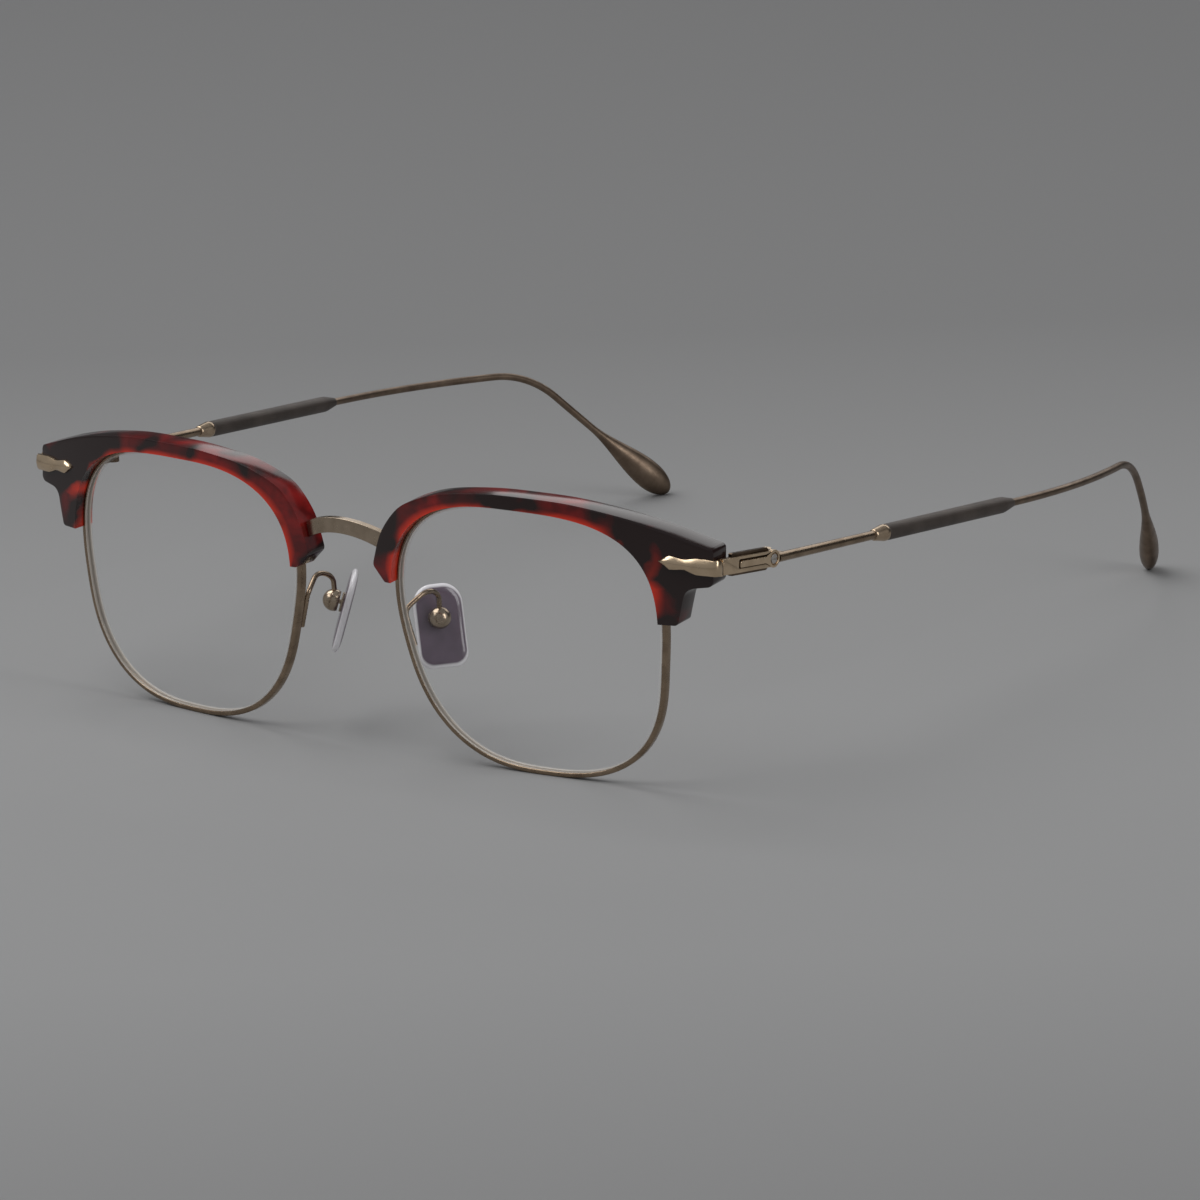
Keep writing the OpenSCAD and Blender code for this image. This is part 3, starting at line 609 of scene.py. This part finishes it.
def eye_edge(degrees, grow):
    """The same outline moved outwards by grow."""
    d = (eye_at(degrees + 0.5) - eye_at(degrees - 0.5)).normalized()
    return eye_at(degrees) + grow * Vector((d.y, -d.x))


EYE_TOP = max(eye_at(a).y for a in range(360))
EYE_SIDE = max(eye_at(a).x for a in range(360))
EYE_NOSE = min(eye_at(a).x for a in range(360))
print("eye outline in mm:", round(EYE_NOSE, 2), round(EYE_SIDE, 2), round(EYE_TOP, 2))

# %% [markdown]
# Milled and moulded pieces have straight runs joined by round corners, as a cutter leaves
# them. Such an outline is given by its corners, each with a radius. The arcs are worked out
# in the flat, because a bevel on the finished mesh couldn't be larger than its short edges.

# %% Rounded outlines
ARC_DEGREES = 7
LARGEST_SHARE = 0.48


def rounded(corners):
    """Rounds each corner (u, v, radius) of an outline with an arc."""
    line = []
    for i, (u, v, radius) in enumerate(corners):
        p = Vector((u, v))
        before = Vector(corners[i - 1][:2]) - p
        after = Vector(corners[(i + 1) % len(corners)][:2]) - p
        if radius == 0:
            line.append(p)
            continue
        da, db = before.normalized(), after.normalized()
        angle = da.angle(db)
        room = LARGEST_SHARE * before.length, LARGEST_SHARE * after.length
        reach = min(radius / math.tan(angle / 2), *room)
        r = reach * math.tan(angle / 2)
        centre = p + (da + db).normalized() * r / math.sin(angle / 2)
        v0, v1 = p + da * reach - centre, p + db * reach - centre
        way = math.copysign(1, v0.cross(v1))
        steps = max(2, math.ceil(math.degrees(math.pi - angle) / ARC_DEGREES))
        for k in range(steps + 1):
            line.append(centre + Matrix.Rotation(way * k * (math.pi - angle) / steps, 2) @ v0)
    return line


def resampled(line, step):
    """Adds points to the long parts of an open line."""
    out = [line[0]]
    for a, b in zip(line, line[1:]):
        count = max(1, math.ceil((b - a).length / step))
        out += [a.lerp(b, k / count) for k in range(1, count + 1)]
    return out


print("points of a rounded square:", len(rounded([(0, 0, 1), (5, 0, 1), (5, 5, 1), (0, 5, 1)])))

# %% [markdown]
# The brow is the piece the eye goes to. A real one is milled from thick acetate sheet: a
# band over the lens with a short leg on the nose side, and a wing with a longer leg on the
# temple side. Its outer outline is given by corners and eased along the band. Each of its
# points is matched with one on the lens edge, so that a section can reach from one to the
# other.

# %% Brow outline
BROW_TOP = EYE_TOP + RIM_HALF + 1.8
NOSE_EDGE = EYE_NOSE - RIM_HALF - 3.3
SIDE_EDGE = EYE_SIDE + RIM_HALF + 3.4
WING_U = EYE_SIDE + 9.6
WING_TOP = BROW_TOP - 6
WING_LOW = WING_TOP - 6.1
LEG_V = 5.5
NOSE_LEG_V = LEG_V + 1.2
# Corner: place across, place up, radius
BROW_CORNERS = [
    (NOSE_EDGE + 2.5, NOSE_LEG_V, 0.6),
    (NOSE_EDGE, NOSE_LEG_V + 2.6, 1),
    (NOSE_EDGE + 1.5, BROW_TOP - 9.4, 7),
    (NOSE_EDGE + 5.6, BROW_TOP - 4.2, 7),
    (NOSE_EDGE + 13.6, BROW_TOP - 1.1, 25),
    (EYE_NOSE + 21.4, BROW_TOP + 0.1, 40),
    (EYE_SIDE - 16.4, BROW_TOP, 50),
    (EYE_SIDE - 2.4, BROW_TOP - 2.1, 60),
    (WING_U, WING_TOP, 0.9),
    (WING_U, WING_LOW, 1.1),
    (SIDE_EDGE + 1, WING_LOW - 0.6, 2.2),
    (SIDE_EDGE - 0.4, LEG_V, 0.7),
    (EYE_SIDE - 4, LEG_V, 0),
    (EYE_NOSE + 4, NOSE_LEG_V, 0),
]
OUTLINE_STEP = 0.7
EASE_PASSES = 34
EASE_OVER = NOSE_LEG_V + 4
EDGE_PARTS, ANGLE_PARTS = 400, 900
NOSE_LEG_ANGLES, TEMPLE_LEG_ANGLES = (110, 179), (1, 70)
EVEN_SHARE = 0.2
LENS_SIDE = -0.025


def eye_angle_at(v, first, last):
    """The angle between first and last where the brow's lens side is nearest to the level v."""
    angles = [first + (last - first) * k / ANGLE_PARTS for k in range(ANGLE_PARTS + 1)]
    return min(angles, key=lambda a: abs(eye_edge(a, LENS_SIDE).y - v))


def eased(line):
    """Evens out an outline once, but leaves the wing and the nose leg as they are."""
    middle = [b if b.x > EYE_SIDE or b.y < EASE_OVER else (a + 2 * b + c) / 4
              for a, b, c in zip(line, line[1:], line[2:])]
    return [line[0], *middle, line[-1]]


def brow_stations():
    """Matching places, nose leg to temple leg: angle on the lens side, point on the outer side."""
    outer = resampled(rounded(BROW_CORNERS)[:-2], OUTLINE_STEP)
    for _ in range(EASE_PASSES):
        outer = eased(outer)
    start = eye_angle_at(NOSE_LEG_V, *NOSE_LEG_ANGLES)
    end = eye_angle_at(LEG_V, *TEMPLE_LEG_ANGLES)
    count = range(EDGE_PARTS + 1)
    lens_side = [eye_edge(start + (end - start) * k / EDGE_PARTS, LENS_SIDE) for k in count]
    nearest = [min(count, key=lambda k: (lens_side[k] - p).length) / EDGE_PARTS for p in outer]
    rows = []
    for i, p in enumerate(outer):
        share = (nearest[i] - nearest[0]) / (nearest[-1] - nearest[0])
        share = (1 - EVEN_SHARE) * share + EVEN_SHARE * i / (len(outer) - 1)
        rows.append((start + (end - start) * share, p))
    return rows


BROW_STATIONS = brow_stations()
print("brow stations:", len(BROW_STATIONS))

# %% [markdown]
# A real brow is grooved on the inside so that it clips over the eye wire, then tumbled
# until its edges are round. A flat shape with a thickness would have no groove, so one
# section that holds it is pulled along the band, and the two long outer edges are rounded
# afterwards.

# %% Brows
BROW_FRONT, BROW_REAR = 2.7, -1.3
GROOVE_HALF, GROOVE_DEEP = 0.775, RIM_HALF + 0.05
FRONT_ROUND, REAR_ROUND = 0.32, 0.3
# The points across a face, as shares of the way from the lens side to the outer side
SPREAD = [0, 0.1, 0.3, 0.6, 0.85, 1]


def make_brow():
    bm = bmesh.new()
    stations = []
    for angle, outer in BROW_STATIONS:
        lens_side = eye_edge(angle, LENS_SIDE)
        groove = eye_edge(angle, GROOVE_DEEP)
        front = [on_front(*lens_side.lerp(outer, s), BROW_FRONT) for s in SPREAD]
        back = [on_front(*lens_side.lerp(outer, s), BROW_REAR) for s in reversed(SPREAD)]
        walls = ((lens_side, -1), (groove, -1), (groove, 1), (lens_side, 1))
        inside = [on_front(*p, side * GROOVE_HALF) for p, side in walls]
        stations.append(front + back + inside)
    edge_row = [1 - s for s in SPREAD] + [1 - s for s in reversed(SPREAD)] + [1] * 4
    rings = loft(bm, stations, tags={"edge": [edge_row] * len(stations)})
    front_corner = len(SPREAD) - 1
    round_off(bm, long_edges(bm, rings, (front_corner,)), FRONT_ROUND, 4)
    round_off(bm, long_edges(bm, rings, (front_corner + 1,)), REAR_ROUND)
    return bm


brows = place_pair("brow", make_brow(), ACETATE)
print("brow faces:", len(brows[0].data.polygons))

# %% [markdown]
# The eye wire is drawn wire with a groove rolled into its inner side, bent round a former.
# A bevelled curve could be bent the same way, but its section would twist on a curved front.
# So the channel section is set square to the outline at each angle and pulled all round.

# %% Eye wires
ROUND_PARTS = 144
ROUND = [360 * k / ROUND_PARTS for k in range(ROUND_PARTS)]
RIM_DEEP, RIM_ROUND = 0.725, 0.22
CHANNEL_MOUTH, CHANNEL_FLOOR, CHANNEL_AT = 0.4, 0.3, -0.075
# Section: distance out from the middle of the wire, height over the ball
RIM_SECTION = [
    (RIM_HALF, -RIM_DEEP),
    (RIM_HALF, RIM_DEEP),
    (-RIM_HALF, RIM_DEEP),
    (-RIM_HALF, CHANNEL_MOUTH),
    (CHANNEL_AT, CHANNEL_FLOOR),
    (CHANNEL_AT, -CHANNEL_FLOOR),
    (-RIM_HALF, -CHANNEL_MOUTH),
    (-RIM_HALF, -RIM_DEEP),
]
RIM_ROUNDED = (0, 1, 2, 7)


def make_rim():
    bm = bmesh.new()
    stations = [[on_front(*eye_edge(a, grow), off) for grow, off in RIM_SECTION] for a in ROUND]
    rings = loft(bm, stations, closed=True)
    round_off(bm, long_edges(bm, rings, RIM_ROUNDED, closed=True), RIM_ROUND)
    return bm


rims = place_pair("rim", make_rim(), BRONZE)
print("rim faces:", len(rims[0].data.polygons))

# %% [markdown]
# The lens is ground to a V-shaped bevel that sits in the wire's groove. It could be cut
# from a ball with a boolean, but that leaves long thin faces. Here rings grow from its
# middle to its edge, run over the bevel, and come back on the other side.

# %% Lenses
LENS_HALF, LENS_EDGE, LENS_ROUND = 0.75, -0.475, 0.08
BEVEL_TIP, BEVEL_TIP_HALF, BEVEL_ROOT_HALF = -0.14, 0.06, 0.28
FACE_RINGS = [0.03, 0.3, 0.55, 0.75, 0.9, 1]


def lens_ring(share, grow, off):
    middle = Vector(EYE_MIDDLE)
    return [on_front(*middle.lerp(eye_edge(a, grow), share), off) for a in ROUND]


def make_lens():
    bm = bmesh.new()
    bevel = [(LENS_EDGE, BEVEL_ROOT_HALF), (BEVEL_TIP, BEVEL_TIP_HALF),
             (BEVEL_TIP, -BEVEL_TIP_HALF), (LENS_EDGE, -BEVEL_ROOT_HALF)]
    stations = [lens_ring(share, LENS_EDGE, LENS_HALF) for share in FACE_RINGS]
    stations += [lens_ring(1, grow, off) for grow, off in bevel]
    stations += [lens_ring(share, LENS_EDGE, -LENS_HALF) for share in reversed(FACE_RINGS)]
    shares = FACE_RINGS + [1] * len(bevel) + list(reversed(FACE_RINGS))
    rings = loft(bm, stations, tags={"outer": [[share] * len(ROUND) for share in shares]})
    front_rim = len(FACE_RINGS) - 1
    back_rim = front_rim + len(bevel) + 1
    rim_edges = [e for i in (front_rim, back_rim) for e in ring_edges(bm, rings[i])]
    round_off(bm, rim_edges, LENS_ROUND, 2)
    return bm


lenses = place_pair("lens", make_lens(), LENS, angle=30)
print("lens faces:", len(lenses[0].data.polygons))

# %% [markdown]
# Behind the sleeve the temple is one bent wire that turns down behind the ear. Its middle
# line is walked in small steps: the heading drops through the ear bend and turns inwards
# all the way. A curve with handles could follow the same line, but would hide its bend
# radius and its angles, which are real sizes here.

# %% Temple line
ROD_START = Vector((72.1225, 21.5906 - 79.398, 37.2524))
STRAIGHT, PATH_LEN = 66.3, 154.379
BEND_AT, BEND_R, BEND_DEG = 108, 22.5, 38.5
SPLAY, SLOPE, TURN = 1.6, 4.9, 36.5
LINE_STEP = 0.25


def clamp01(x):
    return min(max(x, 0), 1)


def heading(s):
    """The direction of the wire at a distance from the rod's start, as a unit vector."""
    bend_len = BEND_R * math.radians(BEND_DEG)
    pitch = math.radians(SLOPE + BEND_DEG * clamp01((s - BEND_AT) / bend_len))
    yaw = math.radians(SPLAY - TURN * clamp01((s - STRAIGHT) / (PATH_LEN - STRAIGHT)))
    return Vector((math.sin(yaw) * math.cos(pitch), math.cos(yaw) * math.cos(pitch), -math.sin(pitch)))


def temple_line():
    """Points of the middle line, from the start of the rod."""
    count = math.ceil(PATH_LEN / LINE_STEP)
    step = PATH_LEN / count
    line = [ROD_START.copy()]
    for i in range(count):
        line.append(line[-1] + heading((i + 0.5) * step) * step)
    return line


TEMPLE_LINE = temple_line()


def temple_at(s):
    i = min(s / PATH_LEN, 1) * (len(TEMPLE_LINE) - 1)
    low = min(int(i), len(TEMPLE_LINE) - 2)
    return TEMPLE_LINE[low].lerp(TEMPLE_LINE[low + 1], i - low)


print("end of the temple in mm:", [round(c, 1) for c in temple_at(PATH_LEN)])

# %% [markdown]
# The wire ends in a flattened paddle, pressed and then polished. Rings of points are set
# square to the middle line. They are the wire's own section at first, and grow wider and
# flatter to the paddle, which closes in a round end like that of an egg.

# %% Temple tips
PADDLE_LEN, TIP_CAP = 21, 5.5
WIRE_R, PADDLE_W, PADDLE_T = 0.66, 2.7, 1.75
WIRE_STEP, WIRE_SIDES = 1.2, 24
TIP_GAP = 0.02
CAP_ANGLES = range(4, 88, 7)
CAP_LAST, CAP_LEAST = 0.005, 0.0004
PADDLE_FACES = Vector((0.03, 0.02, 1))


def tip_places():
    """Distances of the rings from the rod's start, close together at the round end."""
    cap_from = PATH_LEN - TIP_CAP
    first = STRAIGHT + TIP_GAP
    places = [first + WIRE_STEP * k for k in range(int((cap_from - STRAIGHT) / WIRE_STEP) + 1)]
    places += [cap_from + TIP_CAP * math.sin(math.radians(a)) for a in CAP_ANGLES]
    return places + [PATH_LEN - CAP_LAST]


def tip_ring(s):
    t = clamp01((s - PATH_LEN + PADDLE_LEN) / (PADDLE_LEN - TIP_CAP))
    grown = t * t * (3 - 2 * t)
    into_cap = clamp01((s - (PATH_LEN - TIP_CAP)) / TIP_CAP)
    end = math.sqrt(max(1 - into_cap ** 2, CAP_LEAST))
    wide = (WIRE_R + (PADDLE_W - WIRE_R) * grown) * end
    thick = (WIRE_R + (PADDLE_T - WIRE_R) * grown) * end
    along = heading(s)
    flat = PADDLE_FACES.cross(along).normalized()
    up = along.cross(flat)
    turns = [math.tau * k / WIRE_SIDES for k in range(WIRE_SIDES)]
    return [(temple_at(s) + flat * thick * math.cos(a) + up * wide * math.sin(a)) * MM for a in turns]


def make_temple_tip():
    bm = bmesh.new()
    loft(bm, [tip_ring(s) for s in tip_places()])
    return bm


tips = place_pair("temple_tip", make_temple_tip(), TIP_BRONZE, body="temple")
print("temple tip faces:", len(tips[0].data.polygons))

# %% [markdown]
# The ferrule is turned on a lathe as a flared cone at the rod's end, and the sleeve is a
# drawn tube with a tapered tail. Joined cylinders would do, but both are made as a lathe
# makes them: half a section, turned once round the axis of the rod.

# %% Ferrules and sleeves
SLEEVE_FROM, SLEEVE_TO = 29.7, 63.7
TAIL_END = SLEEVE_TO + 2.6
FERRULE_FROM, FERRULE_TO = 26.52, SLEEVE_FROM - 0.02
BORE = 0.61
LATHE_STEPS, LATHE_SHARP, LATHE_ROUND = 48, 35, 0.05
# Sections: radius, distance from the rod's start
FERRULE_LINE = [
    (BORE, FERRULE_FROM),
    (0.84, FERRULE_FROM),
    (0.98, 26.7),
    (1.02, 26.9),
    (1.36, 28.9),
    (1.42, 29.2),
    (1.42, FERRULE_TO),
    (BORE, FERRULE_TO),
]
SLEEVE_LINE = [
    (BORE, SLEEVE_FROM),
    (1.36, SLEEVE_FROM),
    (1.4, SLEEVE_FROM + 0.3),
    (1.4, SLEEVE_TO - 0.6),
    (1.33, SLEEVE_TO),
    (0.86, SLEEVE_TO + 2.2),
    (0.78, TAIL_END),
    (BORE, TAIL_END),
]


def turned(profile):
    """A round piece on the rod's axis, from its section."""
    bm = bmesh.new()
    line = [bm.verts.new((r * MM, 0, z * MM)) for r, z in profile]
    for i in range(len(line)):
        bm.edges.new((line[i - 1], line[i]))
    bmesh.ops.spin(bm, geom=bm.verts[:] + bm.edges[:], cent=(0, 0, 0), axis=(0, 0, 1),
                   angle=math.tau, steps=LATHE_STEPS, use_merge=True)
    bmesh.ops.remove_doubles(bm, verts=bm.verts[:], dist=MERGE_NEW)
    aim = heading(0).to_track_quat("Z", "Y").to_matrix().to_4x4()
    bmesh.ops.transform(bm, matrix=Matrix.Translation(ROD_START * MM) @ aim, verts=bm.verts[:])
    sharp = [e for e in bm.edges if e.calc_face_angle(0) > math.radians(LATHE_SHARP)]
    round_off(bm, sharp, LATHE_ROUND, 2)
    return bm


ferrules = place_pair("ferrule", turned(FERRULE_LINE), PALE_BRONZE, body="temple")
sleeves = place_pair("sleeve", turned(SLEEVE_LINE), SLEEVE, body="temple")
print("ferrule faces:", len(ferrules[0].data.polygons), "sleeve faces:", len(sleeves[0].data.polygons))

# %% [markdown]
# A nose pad is moulded soft plastic over a metal insert: a flat, rounded lozenge with a
# domed face for the skin. A subdivided box would lose its outline, so it is made of rings
# that grow from the middle of one face over the round edge and back to the middle of the
# other face.

# %% Nose pads
PAD_CENTRE = Vector((10.2, 10.336 - 79.398, 19.873))
PAD_H, PAD_W, PAD_T = 14.2, 8.6, 1.6
PAD_LOW_R, PAD_TOP_R = 2.4, 3.4
PAD_STEP = 0.6
PAD_TURN = Matrix.Rotation(math.radians(-36), 3, "Z") @ Matrix.Rotation(math.radians(-17), 3, "Y")
PAD_RINGS = [0.04, 0.3, 0.55, 0.72, 0.80, 0.87, 0.93, 0.965, 0.985, 0.996]
DOME_POWER = 7


def make_pad():
    bm = bmesh.new()
    w, h = PAD_W / 2, PAD_H / 2
    corners = [(-w, -h, PAD_LOW_R), (w, -h, PAD_LOW_R), (w, h, PAD_TOP_R), (-w, h, PAD_TOP_R)]
    outline = rounded(corners)
    outline = resampled(outline + outline[:1], PAD_STEP)[:-1]
    rings = [(share, 1) for share in PAD_RINGS] + [(1, 0)]
    rings += [(share, -1) for share in reversed(PAD_RINGS)]
    stations = []
    for share, side in rings:
        x = side * PAD_T / 2 * (1 - share ** DOME_POWER) ** 0.5
        flat = [Vector((x, share * p.x, share * p.y)) for p in outline]
        stations.append([(PAD_CENTRE + PAD_TURN @ p) * MM for p in flat])
    loft(bm, stations, tags={"outer": [[share] * len(outline) for share, side in rings]})
    return bm


pads = place_pair("nose_pad", make_pad(), PAD, body="pad", angle=60)
print("pad faces:", len(pads[0].data.polygons))

# %% [markdown]
# The endpiece is one stamped strip of metal. Its front is a spear with a soft ridge, it
# bends round the brow's corner, and its side bar splits into a fork. The spear and the bend
# are pulled as one ridged section, which goes from sharp to flat round the bend. A bevel on
# the plain solid would round the spear, but not give it its ridge.

# %% Spear and bend
CORNER = Vector((71.6125, 4.6906 - 79.398, 39.5046))
BAR_HALF, BAR_LOW = 1.325, -0.05
BAR_DROP = math.tan(math.radians(7.3))
SPEAR_V = (WING_TOP + WING_LOW) / 2 + 0.2
SPEAR_LIFT = 2.72
BEND_THICK, BEND_SKIN, BEND_BACK = 1.12, 0.01, 0.08
BEND_PIVOT = CORNER + Vector((0.02, BEND_BACK, -0.1))
BEND_STATIONS, BEND_DEGREES = range(3, 10), 10
BAR_STATIONS = (0.5, 1.15)
# Spear: distance along it from the wing's end, lower side, upper side, thickness of the ridge
SPEAR = [
    (-9.15, 0.62, 0.78, 0.35),
    (-8.3, 0.05, 1.15, 0.62),
    (-7.3, -0.6, 1.65, 0.85),
    (-6.3, -0.58, 1.45, 0.88),
    (-5.3, -0.5, 1.22, 0.86),
    (-4.6, -0.55, 1.15, 0.88),
    (-3.6, -0.95, 1.3, 0.95),
    (-2.7, -1.25, 1.42, 1.02),
    (-1.6, -1.32, 1.38, 1.06),
    (-0.9, -1.33, 1.33, 1.08),
]


def ridged(low, high, flat):
    """Points of a section: how far up it each lies, and the share of the thickness there."""
    middle, half = (low + high) / 2, (high - low) / 2
    edge, shoulder = 0.42 + 0.45 * flat, 0.8 + 0.18 * flat
    reach = 0.55 + 0.3 * flat
    shape = [(-1, 0), (-1, edge), (-reach, shoulder), (0, 1), (reach, shoulder), (1, edge), (1, 0)]
    return [(middle + half * across, height) for across, height in shape]


def spear_stations():
    """The rings of the spear, round the bend and a little way along the bar."""
    stations = []
    for along, low, high, thick in SPEAR:
        ring = ridged(SPEAR_V + low, SPEAR_V + high, 0)
        stations.append([on_front(WING_U + along, v, SPEAR_LIFT + thick * height) for v, height in ring])
    for k in BEND_STATIONS:
        turn = math.radians(BEND_DEGREES * k)
        out = Vector((math.sin(turn), -math.cos(turn), 0))
        ring = ridged(-BAR_HALF, BAR_HALF, k / BEND_STATIONS[-1])
        lifts = [(BEND_SKIN + BEND_THICK * height, v) for v, height in ring]
        stations.append([(BEND_PIVOT + out * lift + Vector((0, 0, v))) * MM for lift, v in lifts])
    ring = ridged(-BAR_HALF, BAR_HALF, 1)
    lifts = [(BEND_SKIN + (BEND_THICK - BEND_SKIN) * height, v) for v, height in ring]
    for back in BAR_STATIONS:
        drop = Vector((0, back, BAR_LOW - (back + BEND_BACK) * BAR_DROP))
        stations.append([(BEND_PIVOT + drop + Vector((lift, 0, v))) * MM for lift, v in lifts])
    return stations


SPEAR_STATIONS = spear_stations()
print("endpiece stations:", len(SPEAR_STATIONS))

# %% [markdown]
# The fork at the end of the side bar has the right shape in its solid already. That solid
# is cut off behind the bend and closed, its outer edges are rounded, and the pulled section
# runs into it, so that the two meet inside the metal.

# %% Endpieces
MERGE_CAD = 1e-6
FLAT_ANGLE = math.radians(0.6)
CUT_BEHIND = 1.2
FORK_OUT, FORK_SHARP, FORK_ROUND = 0.4, 50, 0.14


def make_endpiece():
    bm = bmesh.new()
    bm.from_mesh(nodes["endpiece_left"].data)
    bmesh.ops.remove_doubles(bm, verts=bm.verts[:], dist=MERGE_CAD)
    cut = (CORNER.y + CUT_BEHIND) * MM
    kept = bmesh.ops.bisect_plane(bm, geom=bm.verts[:] + bm.edges[:] + bm.faces[:], dist=MERGE_NEW,
                                  plane_co=(0, cut, 0), plane_no=(0, 1, 0), clear_inner=True)
    open_edges = [e for e in kept["geom_cut"] if isinstance(e, bmesh.types.BMEdge)]
    bmesh.ops.holes_fill(bm, edges=open_edges)
    bmesh.ops.dissolve_limit(bm, angle_limit=FLAT_ANGLE, verts=bm.verts[:], edges=bm.edges[:])
    outside = (CORNER.x + FORK_OUT) * MM
    sharp = [e for e in bm.edges if e.calc_face_angle(0) > math.radians(FORK_SHARP)
             and min(v.co.x for v in e.verts) > outside]
    round_off(bm, sharp, FORK_ROUND, 2)
    loft(bm, SPEAR_STATIONS)
    return bm


endpieces = place_pair("endpiece", make_endpiece(), GOLD, angle=50)
print("endpiece faces:", len(endpieces[0].data.polygons))

# %% [markdown]
# The rest is small metal: the inlays, the hinge leaves, the rods, the pads' arms and boxes,
# the closing blocks, the bridge and the screws. Their solids already have the right shape,
# so each is kept as it is. Its loose triangles are merged, and a Bevel modifier rounds its
# sharp edges by the width that tumbling and plating would leave.

# %% Softened pieces
SOFT_ANGLE = 35
# Piece on each side: its name, finish, rounding in millimetres, angle that counts as sharp
SOFT_PAIRS = [
    ("inlay", GOLD, 0.1, SOFT_ANGLE),
    ("hinge_front", DARK_BRONZE, 0.1, SOFT_ANGLE),
    ("hinge_temple", BRONZE, 0.08, SOFT_ANGLE),
    ("rod", BRONZE, 0.08, SOFT_ANGLE),
    ("pad_arm", BRONZE, 0.06, 60),
    ("pad_button", PEWTER, 0.1, SOFT_ANGLE),
    ("pad_insert", PEWTER, 0.06, SOFT_ANGLE),
    ("closing_block", BRONZE, 0.1, SOFT_ANGLE),
]
SOFT_SINGLES = [
    ("bridge", PEWTER, 0.4),
    ("closing_screws", STEEL, 0.05),
    ("endpiece_screws", STEEL, 0.05),
    ("inlay_screws", STEEL, 0.05),
    ("hinge_screws", GOLD, 0.05),
]


def softened(node, material, width, angle=SOFT_ANGLE):
    """A copy of a CAD node with its triangles joined and its sharp edges rounded."""
    bm = bmesh.new()
    bm.from_mesh(nodes[node].data)
    bmesh.ops.remove_doubles(bm, verts=bm.verts[:], dist=MERGE_CAD)
    bmesh.ops.dissolve_limit(bm, angle_limit=FLAT_ANGLE, verts=bm.verts[:], edges=bm.edges[:])
    piece = new_object(f"{node}_soft", bm)
    piece.data.materials.clear()
    piece.data.materials.append(material)
    smooth(piece, angle)
    bevel = piece.modifiers.new("edges", "BEVEL")
    bevel.width = width * MM
    bevel.segments = 2
    bevel.limit_method = "ANGLE"
    bevel.angle_limit = math.radians(angle)
    bevel.harden_normals = True
    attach(piece, nodes[node]["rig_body"])
    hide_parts(node)
    return piece


soft_pieces = []
for side in ("left", "right"):
    soft_pieces += [softened(f"{name}_{side}", *row) for name, *row in SOFT_PAIRS]
soft_pieces += [softened(*row) for row in SOFT_SINGLES]
print("softened pieces:", len(soft_pieces))
